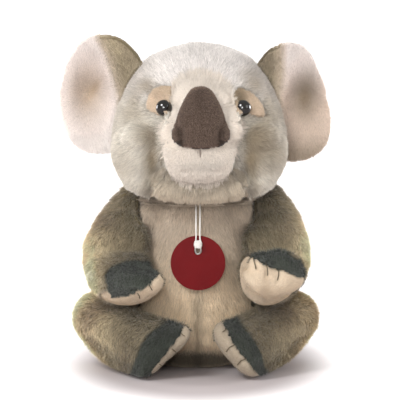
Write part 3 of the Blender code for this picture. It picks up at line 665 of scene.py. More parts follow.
def evaluated_mesh(obj):
    graph = bpy.context.evaluated_depsgraph_get()
    return bpy.data.meshes.new_from_object(obj.evaluated_get(graph), depsgraph=graph)


def settle_modifiers(obj):
    """Turns an object with modifiers into one with a plain mesh."""
    old, obj.data = obj.data, evaluated_mesh(obj)
    obj.modifiers.clear()
    obj.data.name = obj.name
    bpy.data.meshes.remove(old)


def face_mesh(name, points, faces):
    mesh = bpy.data.meshes.new(name)
    mesh.from_pydata(points.tolist(), [], faces.tolist())
    mesh.shade_smooth()
    return mesh


def set_attribute(mesh, name, kind, values):
    attribute = mesh.attributes.new(name, kind, "POINT")
    field = {"FLOAT": "value", "FLOAT_VECTOR": "vector", "FLOAT_COLOR": "color"}[kind]
    if kind == "FLOAT_COLOR":
        values = np.concatenate([values, np.ones((len(values), 1))], axis=1)
    attribute.data.foreach_set(field, np.ascontiguousarray(values, np.float32).ravel())


class Panel:
    """One cloth panel of a form: its faces, and for each point its comb, colours and pile."""

    def __init__(self, name, form, chosen):
        used = np.unique(form.faces[chosen])
        index = np.full(len(form.points), -1)
        index[used] = np.arange(len(used))
        self.name = name
        self.used = used
        self.points = form.points[used]
        self.normals = form.normals()[used]
        self.faces = index[form.faces[chosen]]

    def dress(self, comb, root, tip, length, density):
        """Gives the panel its comb, laid flat, and its pile's colours, length and share of hairs."""
        self.comb = comb - self.normals * (comb * self.normals).sum(1, keepdims=True)
        self.comb /= np.maximum(np.linalg.norm(self.comb, axis=1, keepdims=True), 1e-9)
        count = len(self.points)
        self.root = np.broadcast_to(root, (count, 3))
        self.tip = np.broadcast_to(tip, (count, 3))
        self.length = np.broadcast_to(length, count)
        self.density = np.broadcast_to(density, count)

    def mesh(self):
        mesh = face_mesh(self.name, self.points, self.faces)
        set_attribute(mesh, "comb", "FLOAT_VECTOR", self.comb)
        set_attribute(mesh, "root_colour", "FLOAT_COLOR", self.root)
        set_attribute(mesh, "tip_colour", "FLOAT_COLOR", self.tip)
        set_attribute(mesh, "pile_length", "FLOAT", self.length)
        set_attribute(mesh, "pile_density", "FLOAT", self.density)
        return mesh


CLOTH_THICKNESS = 0.0010


def make_cloth(panel, body, slot, replaced, finish="backing"):
    """The panel as a closed cloth with its outer face where the form is."""
    obj = link(bpy.data.objects.new(panel.name, panel.mesh()))
    solid = obj.modifiers.new("Thickness", "SOLIDIFY")
    solid.thickness = CLOTH_THICKNESS
    solid.offset = -1
    settle_modifiers(obj)
    obj.data.materials.append(material(finish))
    put_piece(obj, body, slot, *replaced)


# The pile's tree


def new_tree(name, sockets):
    tree = bpy.data.node_groups.new(name, "GeometryNodeTree")
    tree.is_modifier = True
    for socket_name, kind in sockets:
        tree.interface.new_socket(socket_name, in_out="INPUT", socket_type=kind)
    tree.interface.new_socket("Geometry", in_out="OUTPUT", socket_type="NodeSocketGeometry")
    return tree


def set_inputs(modifier, **values):
    """Sets a modifier's inputs by their names, through their identifiers."""
    for item in modifier.node_group.interface.items_tree:
        if item.in_out == "INPUT" and item.name.replace(" ", "_").lower() in values:
            modifier[item.identifier] = values[item.name.replace(" ", "_").lower()]


def hair_mesh():
    """One hair of length and width 1: a narrow kite, bent outward at its middle."""
    mesh = bpy.data.meshes.new("Hair")
    bend, middle = 0.10, 0.42
    corners = [(0, 0, 0), (-0.5, bend, middle), (0.5, bend, middle), (0, -bend, 1)]
    mesh.from_pydata(corners, [], [(0, 1, 2), (1, 3, 2)])
    along = mesh.attributes.new("along", "FLOAT", "POINT")
    along.data.foreach_set("value", [0.0, middle, middle, 1.0])
    return mesh


def pile_tree():
    """Scatters hairs on a panel. Each leans along the panel's comb, with locks that part a little."""
    known = bpy.data.node_groups.get("Plush pile")
    if known:
        return known
    tree = new_tree(
        "Plush pile",
        (
            ("Geometry", "NodeSocketGeometry"),
            ("Hair", "NodeSocketObject"),
            ("Density", "NodeSocketFloat"),
            ("Width", "NodeSocketFloat"),
            ("Lean", "NodeSocketFloat"),
            ("Lock Size", "NodeSocketFloat"),
            ("Lock Spread", "NodeSocketFloat"),
            ("Stray", "NodeSocketFloat"),
            ("Seed", "NodeSocketInt"),
            ("Material", "NodeSocketMaterial"),
        ),
    )
    nodes, links = tree.nodes, tree.links
    given = nodes.new("NodeGroupInput").outputs
    result = nodes.new("NodeGroupOutput")

    def read(name, kind):
        node = add_node(nodes, "GeometryNodeInputNamedAttribute", data_type=kind, Name=name)
        return next(s for s in node.outputs if s.enabled)

    def vector(operation, *values):
        return vector_node(nodes, links, operation, *values)

    def number(operation, *values):
        return math_node(nodes, links, operation, *values)

    def random(kind, low, high, shift):
        node = nodes.new("FunctionNodeRandomValue")
        node.data_type = kind
        ports = [s for s in node.inputs if s.enabled and s.name in ("Min", "Max")]
        ports[0].default_value, ports[1].default_value = low, high
        links.new(number("ADD", given["Seed"], shift), node.inputs["Seed"])
        return next(s for s in node.outputs if s.enabled)

    scatter = nodes.new("GeometryNodeDistributePointsOnFaces")
    scatter.distribute_method = "RANDOM"
    links.new(given["Geometry"], scatter.inputs["Mesh"])
    density = number("MULTIPLY", given["Density"], read("pile_density", "FLOAT"))
    links.new(density, scatter.inputs["Density"])
    links.new(given["Seed"], scatter.inputs["Seed"])
    normal = scatter.outputs["Normal"]

    # A lock's hairs share a turn that changes slowly from place to place.
    place = nodes.new("GeometryNodeInputPosition").outputs[0]
    lock = nodes.new("ShaderNodeTexNoise")
    links.new(place, lock.inputs["Vector"])
    links.new(number("DIVIDE", 1.0, given["Lock Size"]), lock.inputs["Scale"])
    lock.inputs["Detail"].default_value = 1.0
    turn = vector("SUBTRACT", lock.outputs["Color"], (0.5, 0.5, 0.5))
    turn = vector("SCALE", turn, number("MULTIPLY", given["Lock Spread"], 2.0))
    stray = vector("SCALE", random("FLOAT_VECTOR", (-1, -1, -1), (1, 1, 1), 3), given["Stray"])
    upright = vector("SCALE", normal, number("COSINE", given["Lean"]))
    laid = vector("SCALE", read("comb", "FLOAT_VECTOR"), number("SINE", given["Lean"]))
    way = vector("ADD", vector("ADD", upright, laid), vector("ADD", turn, stray))

    aim = nodes.new("FunctionNodeAlignRotationToVector")
    aim.axis = "Z"
    links.new(way, aim.inputs["Vector"])
    roll = nodes.new("FunctionNodeAlignRotationToVector")
    roll.axis = "Y"
    roll.pivot_axis = "Z"
    links.new(aim.outputs[0], roll.inputs["Rotation"])
    facing = random("FLOAT_VECTOR", (-1, -1, -1), (1, 1, 1), 21)
    links.new(vector("ADD", normal, vector("SCALE", facing, 0.9)), roll.inputs["Vector"])

    length = number("MULTIPLY", read("pile_length", "FLOAT"), random("FLOAT", 0.62, 1.12, 5))
    size = nodes.new("ShaderNodeCombineXYZ")
    links.new(number("MULTIPLY", given["Width"], random("FLOAT", 0.7, 1.3, 8)), size.inputs["X"])
    links.new(length, size.inputs["Y"])
    links.new(length, size.inputs["Z"])

    def store(geometry, name, kind, value):
        node = add_node(nodes, "GeometryNodeStoreNamedAttribute", data_type=kind, domain="POINT", Name=name)
        links.new(geometry, node.inputs["Geometry"])
        links.new(value, next(s for s in node.inputs if s.enabled and s.name == "Value"))
        return node.outputs[0]

    points = store(scatter.outputs["Points"], "tone", "FLOAT", random("FLOAT", 0.70, 1.27, 13))
    points = store(points, "cloth_normal", "FLOAT_VECTOR", normal)

    hair = nodes.new("GeometryNodeObjectInfo")
    links.new(given["Hair"], hair.inputs["Object"])
    copies = nodes.new("GeometryNodeInstanceOnPoints")
    links.new(points, copies.inputs["Points"])
    links.new(hair.outputs["Geometry"], copies.inputs["Instance"])
    links.new(roll.outputs[0], copies.inputs["Rotation"])
    links.new(size.outputs[0], copies.inputs["Scale"])
    real = nodes.new("GeometryNodeRealizeInstances")
    links.new(copies.outputs[0], real.inputs[0])
    finish = nodes.new("GeometryNodeSetMaterial")
    links.new(real.outputs[0], finish.inputs["Geometry"])
    links.new(given["Material"], finish.inputs["Material"])
    links.new(finish.outputs[0], result.inputs[0])
    return tree


def hair_object():
    known = bpy.data.objects.get("Hair")
    if known:
        return known
    obj = link(bpy.data.objects.new("Hair", hair_mesh()))
    obj.hide_render = True
    return obj


def split_panel(panel, most):
    """The panel's faces in as few groups as hold at most so many hairs each."""
    corners = panel.points[panel.faces]
    diagonals = corners[:, 2] - corners[:, 0], corners[:, 3] - corners[:, 1]
    area = np.linalg.norm(np.cross(*diagonals), axis=1) / 2
    hairs = area * panel.density[panel.faces].mean(axis=1)
    groups = math.ceil(hairs.sum() / most)
    order = np.argsort(corners.mean(axis=1) @ (1.0, 0.15, 0.35))
    shares = np.cumsum(hairs[order]) / hairs.sum()
    return [order[(shares > i / groups) & (shares <= (i + 1) / groups)] for i in range(groups)]


MOST_HAIRS = 92000  # in one piece


def hair_share():
    return 1.0


def make_pile(panel, body, slot, share=1.0, **look):
    """The panel's hairs, in pieces that each stay small enough to handle."""
    density = pile_settings().density * 1e4 * share * hair_share()
    for index, chosen in enumerate(split_panel(panel, MOST_HAIRS / density)):
        make_pile_piece(panel, chosen, f"{panel.name}_pile_{index + 1}", body, slot, density, **look)


def make_pile_piece(
    panel,
    chosen,
    name,
    body,
    slot,
    density,
    finish="plush",
    lean=62,
    lock=0.006,
    spread=0.16,
    stray=0.10,
    width=1.0,
):
    """Hairs on the chosen faces, leaning by degrees, in locks of a size that spread and stray."""
    settings = pile_settings()
    whole, panel.faces = panel.faces, panel.faces[chosen]
    obj = link(bpy.data.objects.new(name, panel.mesh()))
    panel.faces = whole
    modifier = obj.modifiers.new("Pile", "NODES")
    modifier.node_group = pile_tree()
    set_inputs(
        modifier,
        hair=hair_object(),
        density=density,
        width=settings.width * width / hair_share() ** 0.5,
        lean=math.radians(lean),
        lock_size=lock,
        lock_spread=spread,
        stray=stray,
        seed=settings.seed + len(bpy.data.objects),
        material=material(finish),
    )
    settle_modifiers(obj)
    for key in ("comb", "pile_length", "pile_density"):
        spent = obj.data.attributes.get(key)
        if spent:
            obj.data.attributes.remove(spent)
    put_piece(obj, body, slot)


# Camera and stage

CAMERA_DISTANCE = 4.0
PHOTO_SIDE_PX = 400
AIM_HEIGHT = 0.1192
SENSOR_WIDTH_MM = 36.0
AMBIENT_LIGHT = 0.50
LIT_PLACE = Vector((0, 0, 0.12))
# Each lamp's name, place, size in metres and power in watts
LAMPS = (
    ("Key", (-0.85, -1.20, 1.25), 0.7, 21),
    ("Front", (-0.30, -1.75, 0.50), 0.8, 8),
    ("Fill", (1.3, -0.9, 0.7), 1.0, 4),
    ("Left edge", (-1.4, 0.6, 0.25), 0.8, 22),
    ("Right edge", (1.4, 0.6, 0.25), 0.8, 22),
    ("Catch light", (-0.10, -2.2, 0.46), 0.15, 5.0),
)


class KOALA_OT_camera(bpy.types.Operator):
    """Sets the camera at the photograph's angle"""

    bl_idname = "koala.camera"
    bl_label = "Camera"

    def execute(self, context):
        data = bpy.data.cameras.new("Camera")
        camera = link(bpy.data.objects.new("Camera", data))
        aside = (PHOTO_SIDE_PX / 2 - MIDDLE_PX) * PIXEL
        camera.location = Vector((aside, 0, AIM_HEIGHT)) - VIEW_WAY * CAMERA_DISTANCE
        camera.rotation_euler = (math.pi / 2 - TILT, 0, 0)
        data.sensor_width = SENSOR_WIDTH_MM
        data.lens = data.sensor_width * CAMERA_DISTANCE / (PIXEL * PHOTO_SIDE_PX)
        data.clip_start, data.clip_end = 0.05, 20.0
        context.scene.camera = camera
        return {"FINISHED"}


class KOALA_OT_stage(bpy.types.Operator):
    """Lays the pale floor and sets the soft studio light"""

    bl_idname = "koala.stage"
    bl_label = "Stage"

    def execute(self, context):
        bm = bmesh.new()
        bmesh.ops.create_grid(bm, x_segments=1, y_segments=1, size=6)
        mesh = bpy.data.meshes.new("Floor")
        bm.to_mesh(mesh)
        bm.free()
        floor = link(bpy.data.objects.new("Floor", mesh))
        mesh.materials.append(floor_material())

        world = bpy.data.worlds.new("Studio")
        context.scene.world = world
        world.use_nodes = True
        nodes, links = world.node_tree.nodes, world.node_tree.links
        background = nodes["Background"]
        background.inputs["Color"].default_value = (1, 0.99, 0.98, 1)
        rays = nodes.new("ShaderNodeLightPath").outputs
        strength = math_node(
            nodes, links, "MULTIPLY_ADD", rays["Is Camera Ray"], 1 - AMBIENT_LIGHT, AMBIENT_LIGHT
        )
        links.new(strength, background.inputs["Strength"])

        for name, place, size, power in LAMPS:
            data = bpy.data.lights.new(name, "AREA")
            data.shape, data.size, data.energy = "DISK", size, power
            lamp = link(bpy.data.objects.new(name, data))
            lamp.location = place
            lamp.rotation_euler = (Vector(place) - LIT_PLACE).to_track_quat("Z", "Y").to_euler()
        context.scene.view_settings.view_transform = "Standard"
        return {"FINISHED"}


# Hang tag: its cord comes first

CORD_DIAMETER = 0.0010
# The doubled cord's left half, from the neck seam through the tag's hole to its turn behind it,
# as x, y, z in metres; the right half mirrors it.
CORD_HALF_POINTS = (
    (-0.0014, -0.0392, 0.1205),
    (-0.0014, -0.0434, 0.1170),
    (-0.0014, -0.0462, 0.1110),
    (-0.0014, -0.0480, 0.1045),
    (-0.0014, -0.0492, 0.0980),
    (-0.0019, -0.0500, 0.0928),
    (-0.0019, -0.0489, 0.0900),
    (-0.0019, -0.0472, 0.0882),
    (-0.0014, -0.0460, 0.0868),
)
CORD_TURN_POINT = (0.0, -0.0457, 0.0860)
CORD_STEPS = 4
KNOT_PLACE = Vector((0, -0.0502, 0.0935))
KNOT_RADIUS = 0.0019
KNOT_HEIGHT = 0.0048
KNOT_TURNS = 5
KNOT_TURN_STEPS = 12


def smooth_line(points, steps):
    """Points read from a smooth curve through the given ones."""
    ends = [points[0] * 2 - points[1], *points, points[-1] * 2 - points[-2]]
    line = []
    for before, start, end, after in zip(ends, ends[1:], ends[2:], ends[3:]):
        for step in range(steps):
            t = step / steps
            line.append(
                (
                    start * 2
                    + (end - before) * t
                    + (before * 2 - start * 5 + end * 4 - after) * t**2
                    + (start * 3 - before - end * 3 + after) * t**3
                )
                / 2
            )
    return [*line, points[-1]]


def tube(name, line, radius, resolution=4):
    curve = bpy.data.curves.new(name, "CURVE")
    curve.dimensions = "3D"
    curve.bevel_depth = radius
    curve.bevel_resolution = resolution
    curve.use_fill_caps = True
    spline = curve.splines.new("POLY")
    spline.points.add(len(line) - 1)
    for point, place in zip(spline.points, line):
        point.co = (*place, 1)
    return link(bpy.data.objects.new(name, curve))


class KOALA_OT_tag(bpy.types.Operator):
    """Makes the hang tag's cord, knot and red disc"""

    bl_idname = "koala.tag"
    bl_label = "Hang tag"

    def execute(self, context):
        half = [Vector(point) for point in CORD_HALF_POINTS]
        other_half = [Vector((-p.x, p.y, p.z)) for p in reversed(half)]
        line = smooth_line([*half, Vector(CORD_TURN_POINT), *other_half], CORD_STEPS)
        cord = tube("tag_cord_loop", line, CORD_DIAMETER / 2)
        cord.data.materials.append(material("cord"))
        put_piece(cord, "tag", "cord", "tag_cord")
        self.knot()
        disc = NODES["tag_disc"]
        disc.data.materials.clear()
        disc.data.materials.append(material("tag"))
        return {"FINISHED"}

    def knot(self):
        """The knot that holds the cord's two strands together over the disc."""
        line = []
        for step in range(KNOT_TURNS * KNOT_TURN_STEPS + 1):
            angle = 2 * math.pi * step / KNOT_TURN_STEPS
            share = step / (KNOT_TURNS * KNOT_TURN_STEPS)
            reach = KNOT_RADIUS * (0.75 + 0.25 * math.sin(math.pi * share))
            across, forward = reach * 1.35 * math.cos(angle), reach * math.sin(angle)
            line.append(KNOT_PLACE + Vector((across, forward, KNOT_HEIGHT * (0.5 - share))))
        knot = tube("tag_cord_knot", line, CORD_DIAMETER * 0.55)
        knot.data.materials.append(material("cord"))
        put_piece(knot, "tag", "cord")


# Head

NAP_LENGTH = 0.0013  # of the hairs on the palms, the soles and the cloth round the eyes
NAP_PILE = {"lean": 45, "spread": 0.15, "stray": 0.2, "lock": 0.002, "share": 1.3, "width": 0.7}
HEAD_NODES = ("head_skin", "head_filling", "muzzle", "chin")
EYE_PLACES = {"left": (31.9, 190.8), "right": (-24.1, 191.0)}  # X and Z, as they sit in the turned face
EYE_RADIUS = 0.0059
# The cloth patches round the eyes, as the photograph's pixels
EYE_PATCHES = {
    "right": (
        (174, 88), (162, 86.5), (154, 89.5), (149, 96), (146.5, 104), (147, 110), (153, 112.5),
        (161, 114.5), (167, 114), (176, 108),
    ),
    "left": (
        (234, 92), (240, 88.5), (250, 92.5), (257, 98.5), (262.5, 106), (265, 117), (258, 118),
        (250, 115.5), (243, 116), (237, 113), (232, 104),
    ),
}
NOSE_MIDDLE = (2.0, -66.0, 184.0)
HEAD_SHIFT = 1.0  # millimetres that the head sits towards the toy's left in the photograph
FACE_TURN = 2.6  # and how much farther its eyes and nose bridge do
# Half the white muzzle cloth's width at heights from the lip up to the tuft over the nose
MUZZLE_HEIGHTS = (137.5, 138.7, 142.5, 150, 158.5, 165.5, 171, 178, 188, 198, 206, 212, 216)
MUZZLE_HALF_WIDTHS = (0, 12, 19.5, 24, 25.8, 27, 28.5, 28, 24, 22.5, 20.5, 13, 0)
# The chin band's upper edge at distances sideways from its middle
CHIN_SIDEWAYS = (0, 11, 18.7, 24, 30, 34, 37)
CHIN_TOPS = (146, 147, 149, 151, 148, 144, 136)
CHIN_HALF_WIDTH = 33.0
SOFT_EDGE = 0.6  # how far, in millimetres, either outline is soft
# The chin roll's balls: how far sideways, forward and up, and how large
CHIN_BALLS = ((0, -53.5, 133, 11), (12, -53, 133.3, 11), (23, -49.5, 134.5, 11), (31, -45, 137, 9.5))
MUZZLE_PILE = {
    "finish": "ear",
    "lean": 55,
    "spread": 0.07,
    "lock": 0.003,
    "stray": 0.08,
    "share": 1.4,
    "width": 0.8,
}
# The head's half width at heights, with its pile
HEAD_HEIGHTS = (123.5, 128, 133, 143, 151, 167, 188, 207, 222.5, 231)
HEAD_HALF_WIDTHS = (42, 50, 56.5, 61.5, 64, 65.5, 61.5, 52.5, 41, 28)

# The folds of the face's left half as lines of places, in millimetres
BESIDE_PAD = (
    (27.5, -58, 168),
    (27.2, -58, 160),
    (25.5, -60, 150),
    (19, -64, 141.5),
    (9, -68, 137.5),
    (0, -69, 136),
)
BESIDE_STRIP = ((26.5, -48, 188), (28.5, -51, 180), (28.8, -55, 170))
UNDER_STRIP = ((15, -74, 169.5), (20, -71, 168.5), (28.5, -60, 167.5))
BESIDE_CHIN = ((27, -58, 153), (30.5, -55, 146), (32.8, -52, 138), (33.2, -48, 124))
UNDER_EYE = ((29, -50, 184), (38, -48, 182.5), (46, -41, 185))
OVER_EYE = ((22, -48, 209), (33, -45, 208), (40, -40, 203), (46, -33, 195))
# Each fold's line, width and depth
FACE_FOLDS = (
    (BESIDE_PAD, 2.3, 6.0),
    (BESIDE_STRIP, 2.6, 5.0),
    (UNDER_STRIP, 1.6, 3.6),
    (BESIDE_CHIN, 2.4, 4.2),
    (UNDER_EYE, 3.2, 2.4),
    (OVER_EYE, 3.4, 2.6),
)
LIPS_LINE = ((-13, -73, 153), (1, -75, 151.5), (16, -73, 153))  # across the whole mouth


def face_turn(points):
    """How far sideways the head sits at each point, in metres: most at the eyes."""
    y, z = points[:, 1] / MM, points[:, 2] / MM
    return (HEAD_SHIFT + FACE_TURN * np.exp(-(((z - 189) / 17) ** 2)) * ramp(-y, 15, 45)) * MM


def mirrored(line):
    return [(-x, y, z) for x, y, z in line]


def head_form():
    """The stuffed head with its round cheeks, lip pad and chin roll."""
    balls = [((0, -57, 151.5), (24.5, 19.5, 17.0), (-8, 0, 0)), ((0, -51, 178), (24, 14, 16), (0, 0, 0))]
    for sign in (1, -1):
        balls.append(((sign * 40, -24, 152.5), (24, 28.5, 28.5), (0, 0, 0)))
        balls.append(((sign * 39, -38, 168), (16.5, 15.5, 15), (0, 0, 0)))
        balls.append(((sign * 43.5, -32, 140), (15.5, 19, 16), (0, 0, 0)))
        balls.append(((sign * 22, -54, 176), (6.5, 10, 21), (-8, sign * 4, 0)))
    for sideways, forward, up, size in CHIN_BALLS:
        for sign in (1, -1):
            balls.append(((sign * sideways, forward, up), (size + 2, size, size - 0.5), (0, 0, 0)))
    form = form_of_nodes(HEAD_NODES, 0.0013, balls).smooth(16)
    form.fit_sides(HEAD_HEIGHTS, np.subtract(HEAD_HALF_WIDTHS, 1.0))
    for turn in (list, mirrored):
        for line, width, depth in FACE_FOLDS:
            form.crease(turn(line), width, depth)
    form.crease([(0, -75, 165), (0, -75, 152), (0, -73, 147)], 1.2, 2.2)
    form.crease([(-12, -73, 148), (0, -75, 149.5), (14, -73, 148)], 1.4, 1.0)
    for side, sign in SIDES:
        x, z = EYE_PLACES[side][0] - FACE_TURN - HEAD_SHIFT, EYE_PLACES[side][1]
        form.push((x + sign * 2.5, -46, z + 2.5), (12, 16, 11), (0, 3.4, 0))
        form.push((x - sign * 5.5, -53, z - 1), (8.5, 18, 9.5), (0, 6.5, 0))
        form.push((x - sign * 4.2, -56, z), (5.5, 16, 9), (0, 4.5 if side == "right" else 2.5, 0))
        form.push((x + sign * 4, -40, z + 16), (20, 18, 10), (0, -1.6, 0))
    form.push((0, -5, 233), (60, 60, 26), (0, 0, 1.3))
    form.points[:, 0] += face_turn(form.points)
    form.points[:, 2] = np.maximum(form.points[:, 2], 0.1233)
    return form


def muzzle_share(points):
    """How far inside the white muzzle cloth's outline each point lies, from 0 to 1."""
    half = np.interp(points[:, 2] / MM, MUZZLE_HEIGHTS, MUZZLE_HALF_WIDTHS, left=-5, right=-5)
    side = ramp(half - np.abs(points[:, 0] - face_turn(points)) / MM, -SOFT_EDGE, SOFT_EDGE)
    return side * (points[:, 1] < -0.040)


def chin_share(points):
    """The same for the chin band's outline."""
    sideways = np.abs(points[:, 0] / MM - HEAD_SHIFT)
    top = np.interp(sideways, CHIN_SIDEWAYS, CHIN_TOPS)
    below = ramp(top - points[:, 2] / MM, -SOFT_EDGE, SOFT_EDGE)
    return below * ramp(CHIN_HALF_WIDTH - sideways, -SOFT_EDGE, SOFT_EDGE) * (points[:, 1] < -0.030)


# The head's pile colours. The cheek's olive laid into the face's folds and under the brows is partly the
# cloth's olive tint and partly painted shade; the olive tips towards the back are the pile's own colour.
def head_colours(points):
    y, z = points[:, 1] / MM, points[:, 2] / MM
    colour = blend_colours(ramp(z, 180, 214), tint("head"), tint("crown"))
    for sign in (1, -1):
        for place, radius, share in (
            ((33, -50, 156), (10, 40, 22), 0.90),
            ((36, -48, 172), (13, 40, 10), 0.65),
            ((36, -50, 136), (8, 30, 18), 0.50),
            ((38, -42, 204), (13, 30, 9), 0.90),
            ((45, -38, 196), (8, 30, 12), 0.55),
            ((46, -35, 185), (17, 40, 14), 0.50),
            ((54, -30, 152), (18, 30, 24), 0.40),
            ((50, -20, 212), (26, 70, 24), 0.35),
            # On the toy's left only: painted shade over the cheek and the brow, where less light falls.
            ((42, -45, 165), (22, 40, 28), 0.75 * (sign > 0)),
            ((36, -42, 211), (18, 36, 11), 0.75 * (sign > 0)),
        ):
            fold = blob(points, (sign * place[0] + HEAD_SHIFT + 1.5, *place[1:]), radius)
            colour = blend_colours(share * fold, colour, tint("cheek"))
    return blend_colours(0.35 * ramp(y, -5, 30), colour, tint("olive_tip"))


class KOALA_OT_head(bpy.types.Operator):
    """Makes the head's panels with their pile, and the bare patches round the eyes"""

    bl_idname = "koala.head"
    bl_label = "Head"

    def execute(self, context):
        form = head_form()
        length = pile_settings().head_length
        points = form.points.copy()
        spots = seen(points)
        faced = (points[:, 1] < -0.025) * (1 - muzzle_share(points))
        patches = {side: inside(spots, EYE_PATCHES[side]) * faced for side, _ in SIDES}
        bare = patches["left"] + patches["right"]
        under_nose = blob(points, NOSE_MIDDLE, (23, 30, 27))
        pad = muzzle_share(points) * ramp(-points[:, 2], -0.172, -0.164)
        short = 1 - 0.55 * pad
        height = length * 0.5 * short * (1 - np.maximum(bare, ramp(under_nose, 0.05, 0.35)))
        form.points = points - form.normals() * height[:, None]
        centres = points[form.faces].mean(axis=1)
        zone = np.where(chin_share(centres) > 0.5, 2, 0)
        for index, (side, _) in enumerate(SIDES):
            zone[inside(seen(centres), EYE_PATCHES[side]) & (centres[:, 1] < -0.025)] = 3 + index
        zone[muzzle_share(centres) > 0.5] = 1
        back = centres[:, 1] > -0.004
        for name, chosen, slot, replaced in (
            ("head_face", (zone == 0) & ~back, "head_plush", ("head_skin", "head_filling")),
            ("head_back", (zone == 0) & back, "head_plush", ()),
            ("muzzle_panel", zone == 1, "muzzle_plush", ("muzzle",)),
            ("chin_panel", zone == 2, "chin_plush", ("chin",)),
            ("eye_patch_left_cloth", zone == 3, "eye_patch_suede", ("eye_patch_left",)),
            ("eye_patch_right_cloth", zone == 4, "eye_patch_suede", ("eye_patch_right",)),
        ):
            panel = Panel(name, form, chosen)
            p = panel.points
            comb = p - mm(2, -62, 188) + np.array((0, 0.012, -0.004))
            own = length * short[panel.used]
            look = {}
            if name == "muzzle_panel":
                # Painted shade: the pad darkens towards its bottom, into the chin's colour, and along the
                # mouth's crease; the strip is also darker at its top.
                low = ramp(-p[:, 2], -0.146, -0.137)
                root = blend_colours(0.20 * low, tint("muzzle"), tint("chin"))
                edge = ramp(np.abs(p[:, 0]), 0.018, 0.026) * ramp(p[:, 2], 0.170, 0.176)
                own = own * (0.85 + 0.35 * ramp(p[:, 2], 0.200, 0.210) + 0.25 * edge)
                mouth_shade = near_line(p, LIPS_LINE, 3.2) * 0.13 + 0.05 * ramp(-p[:, 2], -0.168, -0.156)
                root = root * (1 - mouth_shade - 0.10 * ramp(p[:, 2], 0.196, 0.206))[:, None]
                comb = comb + np.outer(ramp(p[:, 2], 0.200, 0.208), (0, 0, 0.02))
                look = MUZZLE_PILE
            elif name == "chin_panel":
                # Lighter low on the chin band: painted light below the lip pad's painted shadow.
                low = ramp(-p[:, 2], -0.133, -0.126)
                root = tint("chin") * mottle(p, 8, 0.06) * (1 + 0.15 * low)[:, None]
                comb = comb + np.array((0, 0, -0.03))
            else:
                root = head_colours(p)
            folds = np.zeros(len(p))
            for turn in (list, mirrored):
                for line, width, depth in FACE_FOLDS:
                    turned = [(x + HEAD_SHIFT + FACE_TURN * (z > 172), y, z) for x, y, z in turn(line)]
                    folds = np.maximum(folds, min(depth / 5, 1) * near_line(p, turned, width * 0.95))
            if name != "muzzle_panel":
                # Painted shadow along the lip pad's lower edge, and painted shade in the pad's lower corners.
                under_pad = (*BESIDE_PAD[2:], *mirrored(BESIDE_PAD)[-2:1:-1])
                lower = [(x + HEAD_SHIFT, y, z) for x, y, z in under_pad]
                root = root * (1 - 0.45 * near_line(p, lower, 6.5))[:, None]
                for sign in (1, -1):
                    corner = blob(p, (sign * 28.5 + HEAD_SHIFT, -56, 146), (9, 24, 11))
                    root = root * (1 - 0.45 * corner)[:, None]
            # Painted shade darkens the pile in the face's folds, where the folds also shorten it.
            root = root * (1 - 0.62 * folds)[:, None]
            own = own * (1 - 0.55 * folds)
            for x, z in EYE_PLACES.values():
                own = own * (1 - 0.85 * blob(p, (x, -52, z - 2), (13, 40, 14)))
            clear = 1 - bare[panel.used]
            under = 1 - ramp(under_nose[panel.used], 0.12, 0.3)
            neck = ramp(p[:, 2], 0.1236, 0.126)
            panel.dress(comb, root * 0.94, np.minimum(root * 1.08, 1), own, clear * under * neck)
            if "patch" in name:
                # Painted shade: darker up the patch under the brow, over the whole patch on the toy's left,
                # and most in that patch's upper inner corner.
                shade = ramp(p[:, 2], 0.196, 0.205) * 0.35 + 0.15 * ("left" in name)
                if "left" in name:
                    corner = ramp(-p[:, 0], -0.040, -0.030) * ramp(p[:, 2], 0.190, 0.197)
                    shade = np.maximum(shade, 0.8 * corner)
                root = blend_colours(shade, tint("eye_patch"), tint("cheek") * 0.8) * mottle(p, 4, 0.08)
                panel.dress(comb, root, np.minimum(root * 1.1, 1), NAP_LENGTH, 1.0)
                make_cloth(panel, "head", slot, replaced, "suede")
                make_pile(panel, "head", slot, lean=60, lock=0.002, share=0.8, width=0.9)
            else:
                make_cloth(panel, "head", slot, replaced)
                make_pile(panel, "head", slot, **look)
        self.lip_stitches(form)
        return {"FINISHED"}

    def lip_stitches(self, form):
        """The stitched line that runs down the lip from the nose."""
        tree = form.tree()
        line = []
        for height in np.linspace(0.1655, 0.1585, 8):
            place = tree.ray_cast(Vector((0.0015, -0.2, height)), Y_AXIS)[0]
            line.append(place - Y_AXIS * 0.0010)
        thread = tube("lip_stitches", line, 0.0003, 2)
        thread.data.materials.append(material("mouth"))
        put_piece(thread, "head", "muzzle_plush")


# Eyes


class KOALA_OT_eyes(bpy.types.Operator):
    """Makes the bead eyes and finishes their washers"""

    bl_idname = "koala.eyes"
    bl_label = "Eyes"

    def execute(self, context):
        tree = head_form().tree()
        for side, _ in SIDES:
            washer = NODES[f"eye_washer_{side}"].data
            washer.materials.clear()
            washer.materials.append(material("washer"))
            x, z = mm(*EYE_PLACES[side])
            place = tree.ray_cast(Vector((x, -0.2, z)), Y_AXIS)[0]
            bm = bmesh.new()
            shape = Matrix.Translation(place - Y_AXIS * EYE_RADIUS * 0.95) @ Matrix.Diagonal((1, 0.85, 1, 1))
            bmesh.ops.create_uvsphere(bm, u_segments=48, v_segments=32, radius=EYE_RADIUS, matrix=shape)
            stem = Matrix.Translation(place + Y_AXIS * EYE_RADIUS) @ Matrix.Rotation(math.pi / 2, 4, "X")
            bmesh.ops.create_cone(
                bm,
                cap_ends=True,
                segments=24,
                radius1=EYE_RADIUS * 0.32,
                radius2=EYE_RADIUS * 0.32,
                depth=EYE_RADIUS * 2,
                matrix=stem,
            )
            mesh = bpy.data.meshes.new(f"eye_bead_{side}")
            bm.to_mesh(mesh)
            bm.free()
            mesh.shade_smooth()
            bead = link(bpy.data.objects.new(f"eye_bead_{side}", mesh))
            mesh.materials.append(material("eye"))
            put_piece(bead, "head", "eye_plastic", f"eye_{side}")
        return {"FINISHED"}


